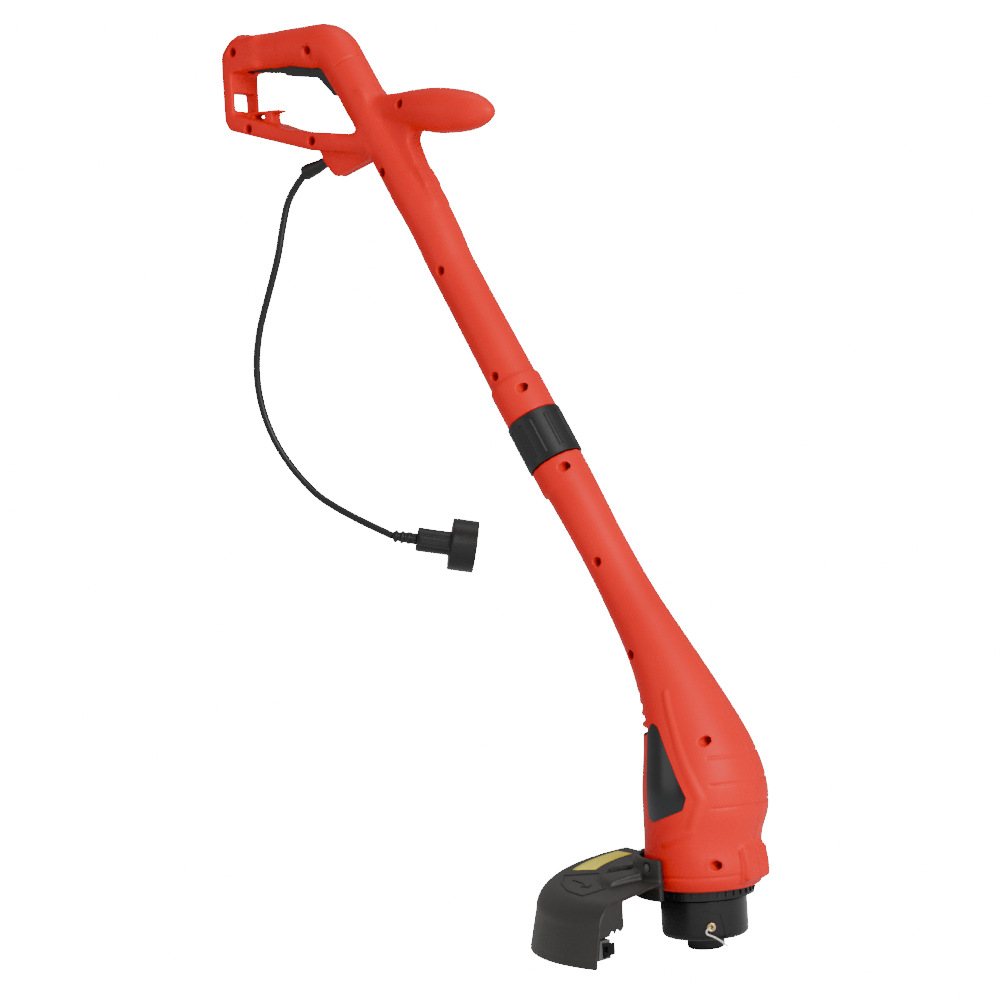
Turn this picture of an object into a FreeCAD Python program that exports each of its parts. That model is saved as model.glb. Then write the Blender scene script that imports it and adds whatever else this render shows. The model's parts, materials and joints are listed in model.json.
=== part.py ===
import FreeCAD, Part
import math
import os

# A corded string trimmer with a rear D-handle, a tubular shaft, a twist collar and a bump-feed head.
# Sizes are in millimetres. +X points forward to the cutting head, +Z up, +Y to the user's left.
# The origin is the middle of the rear grip. The motor axis is upright.

V = FreeCAD.Vector
UP = V(0, 0, 1)
ACROSS = V(0, 1, 0)

# --- driving dimensions -------------------------------------------------------------------------
WALL = 2.5                  # moulded wall of the handle, shaft and motor shells
FIT = 0.3                   # gap between pieces that move past each other
RUN = 0.05                  # radial clearance of a pin or shaft in its bore
SHAFT_TILT = 29.6           # lean of the shaft from upright, in degrees
SHAFT_LENGTH = 381.0        # from the handle hub down to the collar
SHAFT_RADIUS = 23.0
NECK_RADIUS = 27.2          # thicker bands of the shells beside the collar
NECK_BAND = 42.0            # length of the upper band; the lower one is shorter
COLLAR_LENGTH = 52.0
COLLAR_RADIUS = 28.8
TUBE_RADIUS = 12.0          # swivel tube inside the collar
TUBE_WALL = 2.0
TUBE_INSERTION = 46.0       # how far the swivel tube reaches into each shell

GRIP_RADIUS = 22.5          # at the bend
GRIP_REAR_RADIUS = 20.5
GRIP_MIDDLE = -1.2          # height of the grip's axis at the bend
GRIP_RISE = 3.5             # how much higher its rear end is
HANDLE_WIDTH = 44.0         # across the D-handle
GRIP_TOP = 22.0
GRIP_BOTTOM = -21.0
HANDLE_REAR = -86.0
UPRIGHT_DEPTH = 15.0
UPRIGHT_BOTTOM = -68.0
BEND_RADIUS = 30.0          # of the bend from the grip into the shaft
WINDOW_WIDTH = 32.0
WINDOW_LOW = -57.0
WINDOW_HIGH = -38.0
BAR_DROP = 42.0             # how much lower the bar meets the shaft than the upright
BAR_THICKNESS = 17.0
EDGE_ROUND = 5.5
BOSS_WIDTH = 22.0
WEB_WIDTH = 26.0
HUB_X = 98.5                # point on the shaft axis level with the front handle
HUB_Z = -72.0

KNOB_ROOT = 60.0            # front handle: start and end, forward of the hub
KNOB_TIP = 164.5
KNOB_LIFT = -1.5            # of its axis above the hub
KNOB_RADIUS = 23.5
KNOB_DROOP = 7.5

TRIGGER_WIDTH = 18.0
TRIGGER_PROUD = 7.0
TRIGGER_TRAVEL = 4.5        # degrees
PIVOT_X = -54.0
PIVOT_Z = -12.0
PIN_RADIUS = 2.0

SCREW_SHANK = 1.6
SCREW_HEAD = 3.5
SCREW_HEAD_HEIGHT = 2.4
SCREW_RECESS = 4.6
SCREW_SEAT = 7.0            # from the parting plane out to the screw head's seat
SCREW_BITE = 9.0            # thread length in the left shell

HEAD_REACH = 144.2          # motor axis, forward of the neck
HEAD_DROP = 473.5           # ground, below the neck
HOUSING_BOTTOM = 62.0       # heights above the ground, on the motor axis
RIM_RADIUS = 57.0
LIP_RADIUS = 52.5
RIM_SHIFT = 4.0             # how far the rim stands forward of the motor axis
RING_RADIUS = 49.5
RING_HEIGHT = 9.0
SPOOL_RADIUS = 42.0
SPOOL_BOTTOM = 13.0
KNOB_FACE_RADIUS = 18.2
HEAD_WALL = 2.2
BUMP_TRAVEL = 4.0
MOTOR_RADIUS = 34.0
MOTOR_BOTTOM = 84.0
MOTOR_HEIGHT = 52.0
ROTOR_RADIUS = 18.0
ROTOR_SHAFT_RADIUS = 4.0
BEARING_RADIUS = 11.0
BEARING_HEIGHT = 7.0
FAN_RADIUS = 36.0

GUARD_START = 155.0         # the guard's two ends, in degrees round the motor axis
GUARD_END = 267.0
GUARD_RADIUS = 170.0
GUARD_TOP = 73.0
GUARD_BOTTOM = 9.0
GUARD_SHOULDER = 24.0       # radius of the roll-over from the plate into the skirt
GUARD_WALL = 3.0

CORD_DIAMETER = 8.0
CORD_ROUTE = [
    (7, 0, -131), (-14, -4, -151), (-22, -8, -182), (-28, -12, -216), (-43, -14, -254),
    (-61, -15, -296), (-71, -12, -340), (-69, -6, -384), (-55, 4, -427), (-27, 18, -468),
    (-4, 28, -486), (24, 41, -504), (50, 54, -519),
]
PLUG_AXIS = V(0.74, 0.64, -0.20)
PLUG_TAIL_LENGTH = 26.0
PLUG_BODY_LENGTH = 36.0
SHROUD_RADIUS = 28.0
SHROUD_LENGTH = 28.0
SHROUD_WALL = 2.5


# --- places worked out from the dimensions ------------------------------------------------------
LEAN = math.radians(SHAFT_TILT)
DOWN_SHAFT = V(math.sin(LEAN), 0, -math.cos(LEAN))
HUB = V(HUB_X, 0, HUB_Z)
COLLAR_TOP = HUB + DOWN_SHAFT * SHAFT_LENGTH
NECK = COLLAR_TOP + DOWN_SHAFT * COLLAR_LENGTH
MOTOR_X = NECK.x + HEAD_REACH
GROUND_Z = NECK.z - HEAD_DROP
HALF = HANDLE_WIDTH / 2
BIG = 2000.0


def motor(height, forward=0.0, across=0.0):
    """A point given by its height above the ground and its place about the motor axis."""
    return V(MOTOR_X + forward, across, GROUND_Z + height)


def cylinder(radius, start, end):
    axis = end.sub(start)
    return Part.makeCylinder(radius, axis.Length, start, axis)


def cone(radius_1, radius_2, start, end):
    axis = end.sub(start)
    return Part.makeCone(radius_1, radius_2, axis.Length, start, axis)


def tube(outer, inner, start, end):
    return cylinder(outer, start, end).cut(cylinder(inner, start, end))


def disc(radius, low, high):
    """An upright cylinder on the motor axis between two heights."""
    return cylinder(radius, motor(low), motor(high))


def block(low, high):
    size = high.sub(low)
    return Part.makeBox(size.x, size.y, size.z, low)


def fuse(shapes):
    whole = shapes[0]
    for shape in shapes[1:]:
        whole = whole.fuse(shape)
    return whole.removeSplitter()


def side_face(points):
    """A flat face in the plane of symmetry from (x, z) points."""
    wire = Part.makePolygon([V(x, 0, z) for x, z in points + points[:1]])
    return Part.Face(wire)


def slab(points, width):
    """A side outline given thickness, centred on the plane of symmetry."""
    face = side_face(points)
    face.translate(V(0, -width / 2, 0))
    return face.extrude(V(0, width, 0))


def corner_arc(before, corner, after, radius):
    """Where a rounded corner starts, its middle and where it ends."""
    arriving = V(corner.sub(before)).normalize()
    leaving = V(after.sub(corner)).normalize()
    turn = arriving.getAngle(leaving)
    trim = radius * math.tan(turn / 2)
    inward = V(leaving.sub(arriving)).normalize()
    middle = corner + inward * (radius / math.cos(turn / 2) - radius)
    return corner - arriving * trim, middle, corner + leaving * trim


def rounded_slab(points, radii, width):
    """A slab whose corners are rounded, each by its own radius."""
    corners = [V(x, -width / 2, z) for x, z in points]
    count = len(corners)
    edges = []
    ends = []
    for i, radius in enumerate(radii):
        corner = corners[i]
        if radius == 0:
            ends.append((corner, corner))
            continue
        first, middle, last = corner_arc(corners[i - 1], corner, corners[(i + 1) % count], radius)
        edges.append(Part.Arc(first, middle, last).toShape())
        ends.append((first, last))
    for i in range(count):
        start = ends[i][1]
        end = ends[(i + 1) % count][0]
        if start.distanceToPoint(end) > 1e-6:
            edges.append(Part.LineSegment(start, end).toShape())
    wire = Part.Wire(Part.__sortEdges__(edges))
    return Part.Face(wire).extrude(V(0, width, 0))


def half(shape, side):
    """The part of a shape on one side of the parting plane: +1 is the left, -1 the right."""
    low = 0.0 if side > 0 else -BIG
    keep = block(V(-BIG, low, -BIG), V(BIG, low + BIG, BIG))
    return shape.common(keep)


def polyline_tube(points, diameter, name):
    """A cord: straight runs joined by arcs as large as the runs allow."""
    corners = [V(*p) for p in points]
    edges = []
    radii = []
    here = corners[0]
    for before, corner, after in zip(corners, corners[1:], corners[2:]):
        shorter = min(corner.sub(before).Length, after.sub(corner).Length)
        turn = corner.sub(before).getAngle(after.sub(corner))
        radius = 0.45 * shorter / math.tan(turn / 2)
        first, middle, last = corner_arc(before, corner, after, radius)
        edges.append(Part.LineSegment(here, first).toShape())
        edges.append(Part.Arc(first, middle, last).toShape())
        radii.append(radius)
        here = last
    edges.append(Part.LineSegment(here, corners[-1]).toShape())
    path = Part.Wire(edges)
    start_direction = corners[1].sub(corners[0])
    circle = Part.Wire(Part.makeCircle(diameter / 2, corners[0], start_direction))
    body = path.makePipeShell([circle], True, True)
    length = path.Length
    section = math.pi * diameter ** 2 / 4
    print(name, "length", round(length, 1), "volume share", round(body.Volume / (length * section), 4))
    print(name, "radii", [round(r, 1) for r in radii])
    return body


# --- screws and shell pairs ---------------------------------------------------------------------
def screw(x, z):
    """A screw along Y, its head seated in the right shell and its thread in the left one."""
    seat = V(x, -SCREW_SEAT, z)
    head = cylinder(SCREW_HEAD, V(x, -SCREW_SEAT - SCREW_HEAD_HEIGHT, z), seat)
    slot = block(V(x - 2.4, -SCREW_SEAT - SCREW_HEAD_HEIGHT, z - 0.4),
                 V(x + 2.4, -SCREW_SEAT - SCREW_HEAD_HEIGHT + 1.2, z + 0.4))
    cross_slot = block(V(x - 0.4, -SCREW_SEAT - SCREW_HEAD_HEIGHT, z - 2.4),
                       V(x + 0.4, -SCREW_SEAT - SCREW_HEAD_HEIGHT + 1.2, z + 2.4))
    shank = cylinder(SCREW_SHANK, seat, V(x, SCREW_BITE, z))
    return head.cut(slot).cut(cross_slot).fuse(shank).removeSplitter()


def shell_pair(outer, cavity, screw_places, cuts):
    """Split a hollow body on the parting plane, with a boss and holes at each screw."""
    body = outer.cut(cavity)
    for x, z in screw_places:
        post = cylinder(SCREW_RECESS + 1.6, V(x, -BIG / 10, z), V(x, BIG / 10, z))
        body = body.fuse(post.common(outer))
    for x, z in screw_places:
        seat = V(x, -SCREW_SEAT, z)
        body = body.cut(cylinder(SCREW_RECESS, V(x, -BIG / 10, z), seat))
        body = body.cut(cylinder(SCREW_SHANK + RUN, seat, V(x, SCREW_BITE + 1.0, z)))
    for shape in cuts:
        body = body.cut(shape)
    return biggest(half(body, -1)), biggest(half(body, 1))


def biggest(shape):
    return max(shape.Solids, key=lambda solid: solid.Volume)


# --- upper unit: handle, shaft and front handle -------------------------------------------------
def shaft_line_x(z, offset):
    """X of the line parallel to the shaft axis, offset to its front, at a height."""
    return HUB_X + (HUB_Z - z) * math.tan(LEAN) + offset / math.cos(LEAN)


def loop_outline():
    """Outer side outline of the handle's rear and bar, with the radius of each corner."""
    bar_end_z = UPRIGHT_BOTTOM - BAR_DROP
    points = [
        (HANDLE_REAR, UPRIGHT_BOTTOM),
        (HANDLE_REAR, 4.0),
        (HANDLE_REAR + 17.0, GRIP_TOP - 4.0),
        (-22.0, GRIP_TOP),
        (-22.0, GRIP_TOP - 14.0),
        (shaft_line_x(HUB_Z + 6.0, 6.0), GRIP_TOP - 14.0),
        (shaft_line_x(HUB_Z - 20.0, 6.0), HUB_Z - 20.0),
        (shaft_line_x(bar_end_z - 24.0, 0), bar_end_z - 24.0),
        (shaft_line_x(bar_end_z, -SHAFT_RADIUS + 5.0), bar_end_z - 10.0),
        (30.0, bar_end_z),
        (HANDLE_REAR + 6.0, UPRIGHT_BOTTOM - 10.0),
    ]
    radii = [4.0, 11.0, 11.0, 0, 0, 0, 0, 0, 0, 0, 7.0]
    return points, radii


def hole_outline():
    """Side outline of the hand opening, with the radius of each corner."""
    bar_top = UPRIGHT_BOTTOM - BAR_DROP + BAR_THICKNESS
    inner_x = HANDLE_REAR + UPRIGHT_DEPTH
    front = -5.0
    points = [
        (inner_x, GRIP_BOTTOM + 4.0),
        (shaft_line_x(GRIP_BOTTOM, front), GRIP_BOTTOM + 4.0),
        (shaft_line_x(bar_top, front), bar_top - 8.0),
        (8.0, bar_top + 6.0),
        (-12.0, bar_top + 11.5),
        (-30.0, bar_top + 18.5),
        (inner_x, UPRIGHT_BOTTOM + 6.0),
    ]
    radii = [5.0, 0, 9.0, 0, 0, 8.0, 4.0]
    return points, radii


def grip_tube(shrink, rear):
    """The round grip, its bend and the column down to the hub, less a wall."""
    corner = V(shaft_line_x(GRIP_MIDDLE, 0), 0, GRIP_MIDDLE)
    start = V(HANDLE_REAR + rear, 0, GRIP_MIDDLE + GRIP_RISE)
    first, middle, last = corner_arc(start, corner, HUB, BEND_RADIUS)
    path = Part.Wire([Part.Arc(first, middle, last).toShape()])
    circle = Part.Wire(Part.makeCircle(GRIP_RADIUS - shrink, first, first.sub(start)))
    bend = path.makePipeShell([circle], True, True)
    grip = cone(GRIP_REAR_RADIUS - shrink, GRIP_RADIUS - shrink, start, first)
    column = cone(GRIP_RADIUS - shrink, SHAFT_RADIUS - shrink, last, HUB)
    return fuse([grip, bend, column])


def handle_loop():
    """The rear upright and the bar of the D, square-sided with rounded edges."""
    points, radii = loop_outline()
    loop = rounded_slab(points, radii, HANDLE_WIDTH)
    rim = [e for e in loop.Edges if min(abs(e.BoundBox.YMin), abs(e.BoundBox.YMax)) > HALF - 0.01
           and e.BoundBox.YLength < 0.01]
    loop = loop.makeFillet(EDGE_ROUND, rim)
    hole_points, hole_radii = hole_outline()
    opening = rounded_slab(hole_points, hole_radii, HANDLE_WIDTH + 2)
    above_column = block(V(HANDLE_REAR + 52.0, -HALF - 1, GRIP_BOTTOM - 34.0), V(BIG, HALF + 1, BIG))
    return loop.cut(opening).cut(above_column)


def window():
    depth = UPRIGHT_DEPTH + 6.0
    return block(V(HANDLE_REAR - 3.0, -WINDOW_WIDTH / 2, WINDOW_LOW),
                 V(HANDLE_REAR - 3.0 + depth, WINDOW_WIDTH / 2, WINDOW_HIGH))


def cord_hook():
    """A tongue in the hand opening that a loop of extension lead is hung from."""
    rear = HANDLE_REAR + UPRIGHT_DEPTH - 1.0
    tongue_low = UPRIGHT_BOTTOM + 5.0
    tongue = slab([(rear, tongue_low), (rear, tongue_low + 4.0),
                   (rear + 52.0, tongue_low + 2.0), (rear + 52.0, tongue_low - 1.0)], 16.0)
    stem = slab([(rear + 30.0, UPRIGHT_BOTTOM - 14.0), (rear + 33.0, tongue_low + 1.0),
                 (rear + 42.0, tongue_low + 1.0), (rear + 46.0, UPRIGHT_BOTTOM - 18.0)], 16.0)
    return fuse([tongue, stem])


def boss_outline(inset):
    """Side outline of the boss the cord enters, moved inwards by an inset."""
    bar_end_z = UPRIGHT_BOTTOM - BAR_DROP
    return [
        (37.0 + inset, bar_end_z + 4.0),
        (38.0 + inset, bar_end_z - 3.0),
        (42.0 + inset, bar_end_z - 16.0),
        (54.0 + inset * 0.6, bar_end_z - 31.0 + inset * 1.4),
        (shaft_line_x(bar_end_z - 10.0, 0), bar_end_z - 10.0 + inset),
        (shaft_line_x(bar_end_z + 6.0, 0), bar_end_z + 6.0),
    ]


def cord_boss():
    return rounded_slab(boss_outline(0), [0, 0, 4.0, 6.0, 0, 0], BOSS_WIDTH)


def hub_web():
    """The web that fills the corner between the front handle and the shaft."""
    points = [
        (HUB_X + 22.0, HUB_Z - 8.0),
        (HUB_X + 66.0, HUB_Z - 27.0),
        (HUB_X + 58.0, HUB_Z - 39.0),
        (HUB_X + 68.0, HUB_Z - 64.0),
        (shaft_line_x(HUB_Z - 110.0, SHAFT_RADIUS), HUB_Z - 110.0),
        (shaft_line_x(HUB_Z - 110.0, 0), HUB_Z - 110.0),
    ]
    return rounded_slab(points, [0, 0, 10.0, 0, 0, 0], WEB_WIDTH)


def smooth_revolved(start, end, curve, base, direction):
    """Turn a smooth curve of (distance, radius) points about an axis, closed onto the axis."""
    along = V(direction).normalize()
    out = along.cross(ACROSS)
    spline = Part.BSplineCurve()
    spline.interpolate([base + along * d + out * r for d, r in curve])
    first = spline.StartPoint
    last = spline.EndPoint
    axis_start = base + along * start
    axis_end = base + along * end
    edges = [spline.toShape()]
    if last.distanceToPoint(axis_end) > 1e-6:
        edges.append(Part.LineSegment(last, axis_end).toShape())
    edges.append(Part.LineSegment(axis_end, axis_start).toShape())
    if first.distanceToPoint(axis_start) > 1e-6:
        edges.append(Part.LineSegment(axis_start, first).toShape())
    return Part.Face(Part.Wire(edges)).revolve(base, along, 360)


def shaft_solid(shrink):
    """The shaft from above the hub to the collar, with a thicker band at its lower end."""
    top = -44.0
    curve = [
        (top, SHAFT_RADIUS - 1.0 - shrink),
        (-4.0, SHAFT_RADIUS - 0.6 - shrink),
        (SHAFT_LENGTH * 0.3, SHAFT_RADIUS - shrink),
        (SHAFT_LENGTH * 0.72, SHAFT_RADIUS + 0.8 - shrink),
        (SHAFT_LENGTH * 0.88, SHAFT_RADIUS + 1.6 - shrink),
        (SHAFT_LENGTH, SHAFT_RADIUS + 2.4 - shrink),
    ]
    return smooth_revolved(top, SHAFT_LENGTH, curve, HUB, DOWN_SHAFT)


def upper_band():
    """The thicker band of the shaft above the collar."""
    start = COLLAR_TOP - DOWN_SHAFT * NECK_BAND
    band = cylinder(NECK_RADIUS, start, COLLAR_TOP)
    top_rim = [e for e in band.Edges if e.Closed and e.BoundBox.ZMin > COLLAR_TOP.z + NECK_RADIUS / 4]
    return band.makeChamfer(1.2, top_rim)


def front_handle_axis():
    droop = math.radians(KNOB_DROOP)
    return V(math.cos(droop), 0, -math.sin(droop))


def front_handle_solid(shrink):
    """A football-shaped handle that points forward from the hub."""
    reach = KNOB_TIP - shrink * 2
    curve = [
        (-10.0, SHAFT_RADIUS - 4.0 - shrink),
        (KNOB_ROOT - 22.0, SHAFT_RADIUS - 5.5 - shrink),
        (KNOB_ROOT, KNOB_RADIUS - 3.0 - shrink),
        (KNOB_ROOT + 36.0, KNOB_RADIUS - shrink),
        (KNOB_ROOT + 60.0, KNOB_RADIUS - 1.5 - shrink),
        (KNOB_TIP - 21.0 - shrink, KNOB_RADIUS * 0.74 - shrink),
        (KNOB_TIP - 9.0 - shrink, KNOB_RADIUS * 0.48 - shrink * 0.5),
        (reach - 2.0, 5.0),
        (reach, 0.0),
    ]
    return smooth_revolved(-10.0, reach, curve, HUB + V(0, 0, KNOB_LIFT), front_handle_axis())


def upper_outer():
    return fuse([grip_tube(0, 12.0), shaft_solid(0), handle_loop(),
                 front_handle_solid(0), hub_web(), cord_boss(), cord_hook(), upper_band()])


def grip_cavity():
    """The hollow of the grip, the bend and the column."""
    return grip_tube(WALL, UPRIGHT_DEPTH + 4.0)


def boss_cavity():
    """The hollow behind the cord's entry, open into the shaft."""
    return slab(boss_outline(WALL + 1.5), BOSS_WIDTH - 2 * WALL)


def trigger_outline(lift=0.0):
    """Side outline of the trigger: it follows the grip's underside and the front bend."""
    front_x = shaft_line_x(GRIP_BOTTOM - 36.0, -SHAFT_RADIUS)
    bend_x = shaft_line_x(GRIP_BOTTOM, -SHAFT_RADIUS)
    step_x = PIVOT_X + 45.0
    return [
        (PIVOT_X - 5.0 - lift, PIVOT_Z - 4.0 - lift),
        (PIVOT_X - 5.0 - lift, PIVOT_Z + 4.0 + lift),
        (PIVOT_X + 6.0, PIVOT_Z + 4.0 + lift),
        (bend_x - 30.0, GRIP_BOTTOM + 6.0 + lift),
        (bend_x - 6.0, GRIP_BOTTOM + 3.0 + lift),
        (bend_x + 15.0 + lift, GRIP_BOTTOM - 9.0 + lift),
        (front_x + 5.0 + lift, GRIP_BOTTOM - 30.0 + lift),
        (front_x + 4.0 + lift, GRIP_BOTTOM - 37.0),
        (front_x - 4.0, GRIP_BOTTOM - 35.0 - lift),
        (bend_x - 4.0, GRIP_BOTTOM - 13.5 - lift),
        (step_x + 6.0, GRIP_BOTTOM - TRIGGER_PROUD - lift),
        (step_x, GRIP_BOTTOM - 3.0 - lift),
        (PIVOT_X + 12.0, GRIP_BOTTOM + 1.5 - lift),
    ]


def trigger():
    radii = [3.0, 3.0, 0, 0, 6.0, 6.0, 2.0, 2.0, 2.0, 8.0, 2.0, 2.0, 0]
    body = rounded_slab(trigger_outline(), radii, TRIGGER_WIDTH)
    bore = cylinder(PIN_RADIUS + RUN, V(PIVOT_X, -HALF, PIVOT_Z), V(PIVOT_X, HALF, PIVOT_Z))
    return body.cut(bore)


def trigger_slot():
    """The room the trigger needs at rest and when it is squeezed."""
    sweep = TRIGGER_WIDTH + 2 * FIT
    rest = slab(trigger_outline(FIT), sweep)
    room = rest
    for share in (0.5, 1.0):
        turned = rest.copy()
        turned.rotate(V(PIVOT_X, 0, PIVOT_Z), ACROSS, -TRIGGER_TRAVEL * share)
        room = room.fuse(turned)
    pivot_room = cylinder(8.0, V(PIVOT_X, -sweep / 2, PIVOT_Z), V(PIVOT_X, sweep / 2, PIVOT_Z))
    return room.fuse(pivot_room)


PIN_END = HALF - 9.5


def trigger_pin():
    end = PIN_END
    return cylinder(PIN_RADIUS, V(PIVOT_X, -end, PIVOT_Z), V(PIVOT_X, end, PIVOT_Z))


def pin_posts():
    """Posts inside the two shells that hold the trigger's pin."""
    inner = TRIGGER_WIDTH / 2 + FIT
    outer = HALF - WALL - 1.0
    right = cylinder(5.0, V(PIVOT_X, -outer, PIVOT_Z), V(PIVOT_X, -inner, PIVOT_Z))
    left = cylinder(5.0, V(PIVOT_X, inner, PIVOT_Z), V(PIVOT_X, outer, PIVOT_Z))
    return right.fuse(left)


SWITCH_X = -6.0
SWITCH_LENGTH = 30.0
SWITCH_WIDTH = 16.0
SWITCH_BOTTOM = -2.0
SWITCH_HEIGHT = 15.0
PLUNGER_RADIUS = 2.5
PLUNGER_X = SWITCH_X - 4.0
SPRING_X = -34.0


def trigger_top_at(x):
    """Height of the trigger's upper face at a place along the grip."""
    start = (PIVOT_X + 6.0, PIVOT_Z + 4.0)
    end = (shaft_line_x(GRIP_BOTTOM, -SHAFT_RADIUS) - 30.0, GRIP_BOTTOM + 6.0)
    share = (x - start[0]) / (end[0] - start[0])
    return start[1] + share * (end[1] - start[1])


def plunger_travel():
    return (PLUNGER_X - PIVOT_X) * math.radians(TRIGGER_TRAVEL)


def switch_body():
    body = block(V(SWITCH_X - SWITCH_LENGTH / 2, -SWITCH_WIDTH / 2, SWITCH_BOTTOM),
                 V(SWITCH_X + SWITCH_LENGTH / 2, SWITCH_WIDTH / 2, SWITCH_BOTTOM + SWITCH_HEIGHT))
    bore = cylinder(PLUNGER_RADIUS + RUN, V(PLUNGER_X, 0, SWITCH_BOTTOM - 1),
                    V(PLUNGER_X, 0, SWITCH_BOTTOM + SWITCH_HEIGHT - 2.0))
    return body.cut(bore)


def switch_plunger():
    low = trigger_top_at(PLUNGER_X + PLUNGER_RADIUS) + FIT + 0.4
    high = SWITCH_BOTTOM + SWITCH_HEIGHT - 3.0 - plunger_travel()
    return cylinder(PLUNGER_RADIUS, V(PLUNGER_X, 0, low), V(PLUNGER_X, 0, high))


def coil_spring(radius, wire_radius, base, height, turns):
    """A coil spring on an upright axis."""
    helix = Part.makeHelix(height / turns, height, radius)
    helix.translate(base)
    start = base + V(radius, 0, 0)
    circle = Part.Wire(Part.makeCircle(wire_radius, start, V(0, 1, 0)))
    path = Part.Wire(helix.Edges)
    return path.makePipeShell([circle], True, True)


def trigger_spring():
    base_z = trigger_top_at(SPRING_X) + 1.6
    height = GRIP_TOP - WALL - 1.0 - base_z
    return coil_spring(3.5, 0.5, V(SPRING_X, 0, base_z), height, 6)


BOOT_START = V(52.0, 0, -117.5)
BOOT_END = V(*CORD_ROUTE[0])
BOOT_THICK = 6.5


def cord_boot():
    """The moulded strain relief that the cord leaves the handle through."""
    along = V(BOOT_END.sub(BOOT_START)).normalize()
    body = cone(BOOT_THICK, BOOT_THICK - 0.6, BOOT_START, BOOT_END)
    flange = cylinder(BOOT_THICK + 1.5, BOOT_START, BOOT_START + along * 4.0)
    mouth = cone(BOOT_THICK + 0.2, BOOT_THICK + 1.4, BOOT_END - along * 9.0, BOOT_END)
    return fuse([body, flange, mouth]).cut(power_cord())


def boot_room():
    axis = BOOT_END.sub(BOOT_START)
    along = V(axis).normalize()
    way = cylinder(BOOT_THICK + FIT, BOOT_START, BOOT_END)
    pocket = cylinder(BOOT_THICK + 1.5 + FIT, BOOT_START - along * 2.0, BOOT_START + along * 4.3)
    return way.fuse(pocket)


CLAMP_X = 66.0
CLAMP_Z = -106.0


def cord_clamp():
    """A bar across the cord inside the handle, held by two screws."""
    bar = block(V(CLAMP_X - 4.0, -11.0, CLAMP_Z - 2.5), V(CLAMP_X + 4.0, 11.0, CLAMP_Z + 2.5))
    for side in (-8.0, 8.0):
        bar = bar.cut(cylinder(1.5, V(CLAMP_X, side, CLAMP_Z - 4), V(CLAMP_X, side, CLAMP_Z + 4)))
    return bar


def cord_clamp_screws():
    screws = []
    for side in (-8.0, 8.0):
        shank = cylinder(1.4, V(CLAMP_X, side, CLAMP_Z - 2.5), V(CLAMP_X, side, CLAMP_Z + 2.5))
        head = cylinder(2.6, V(CLAMP_X, side, CLAMP_Z + 2.5), V(CLAMP_X, side, CLAMP_Z + 4.5))
        screws.append(shank.fuse(head).removeSplitter())
    return Part.makeCompound(screws)


def shaft_point(distance, forward=0.0):
    """A point on the shaft axis below the hub, moved forward square to the axis."""
    forward_direction = V(math.cos(LEAN), 0, math.sin(LEAN))
    return HUB + DOWN_SHAFT * distance + forward_direction * forward


def terminal_block():
    start = shaft_point(20.0, 4.0)
    body = cylinder(7.0, start, shaft_point(42.0, 4.0))
    return body


def upper_lead():
    """The mains lead from the terminal block down the shaft to the swivel."""
    end = shaft_point(SHAFT_LENGTH + COLLAR_LENGTH / 2 - 1.0, LEAD_OFFSET)
    return cylinder(LEAD_RADIUS, shaft_point(44.0, LEAD_OFFSET), end)


def clamp_room():
    """Room for the cord clamp and its screws behind the cord's entry."""
    return block(V(CLAMP_X - 4.2, -11.2, CLAMP_Z - 2.7), V(CLAMP_X + 4.2, 11.2, CLAMP_Z + 5.0))


LEAD_RADIUS = 3.2
LEAD_OFFSET = 6.0            # beside the screws that cross the shaft
UPPER_SCREWS = [(-67.0, 4.0), (37.0, -6.3), (-51.0, -79.0), (36.0, -101.0)]
SHAFT_SCREWS = [(76.0, -9.0), (203.0, -1.0), (329.0, -2.0)]
NECK_SCREW_OFFSET = TUBE_RADIUS + SCREW_RECESS + 1.0


def upper_screw_places():
    places = [(HUB_X + 56.0, HUB_Z - 4.0)]
    collar_screw = (SHAFT_LENGTH - 26.0, NECK_SCREW_OFFSET)
    for distance, forward in SHAFT_SCREWS + [collar_screw]:
        point = shaft_point(distance, forward)
        places.append((point.x, point.z))
    return UPPER_SCREWS + places


def tube_room():
    """Socket for the swivel tube at the shaft's lower end."""
    return cylinder(TUBE_RADIUS, COLLAR_TOP - DOWN_SHAFT * TUBE_INSERTION, COLLAR_TOP + DOWN_SHAFT)


def upper_socket():
    """Rib rings that fill the shaft's flared end round the swivel tube."""
    start = COLLAR_TOP - DOWN_SHAFT * (TUBE_INSERTION + 4.0)
    ring = cylinder(SHAFT_RADIUS - WALL + 1.0, start, COLLAR_TOP - DOWN_SHAFT * (TUBE_INSERTION - 2))
    end_ring = cylinder(NECK_RADIUS - 1.0, COLLAR_TOP - DOWN_SHAFT * 5.0, COLLAR_TOP)
    return ring.fuse(end_ring)


def upper_unit():
    outer = upper_outer()
    cavity = fuse([grip_cavity(), shaft_solid(WALL)]).cut(upper_socket())
    cavity = cavity.fuse(front_handle_solid(WALL)).fuse(boss_cavity()).cut(pin_posts())
    pin_bore = cylinder(PIN_RADIUS, V(PIVOT_X, -PIN_END, PIVOT_Z), V(PIVOT_X, PIN_END, PIVOT_Z))
    lead_way = cylinder(LEAD_RADIUS + 1.0, shaft_point(43.0, LEAD_OFFSET),
                        shaft_point(SHAFT_LENGTH + 1.0, LEAD_OFFSET))
    terminal_room = cylinder(7.5, shaft_point(19.0, 4.0), shaft_point(43.0, 4.0))
    cuts = [window(), trigger_slot(), pin_bore, boot_room(), tube_room(), lead_way, terminal_room,
            clamp_room()]
    return shell_pair(outer, cavity, upper_screw_places(), cuts)


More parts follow.
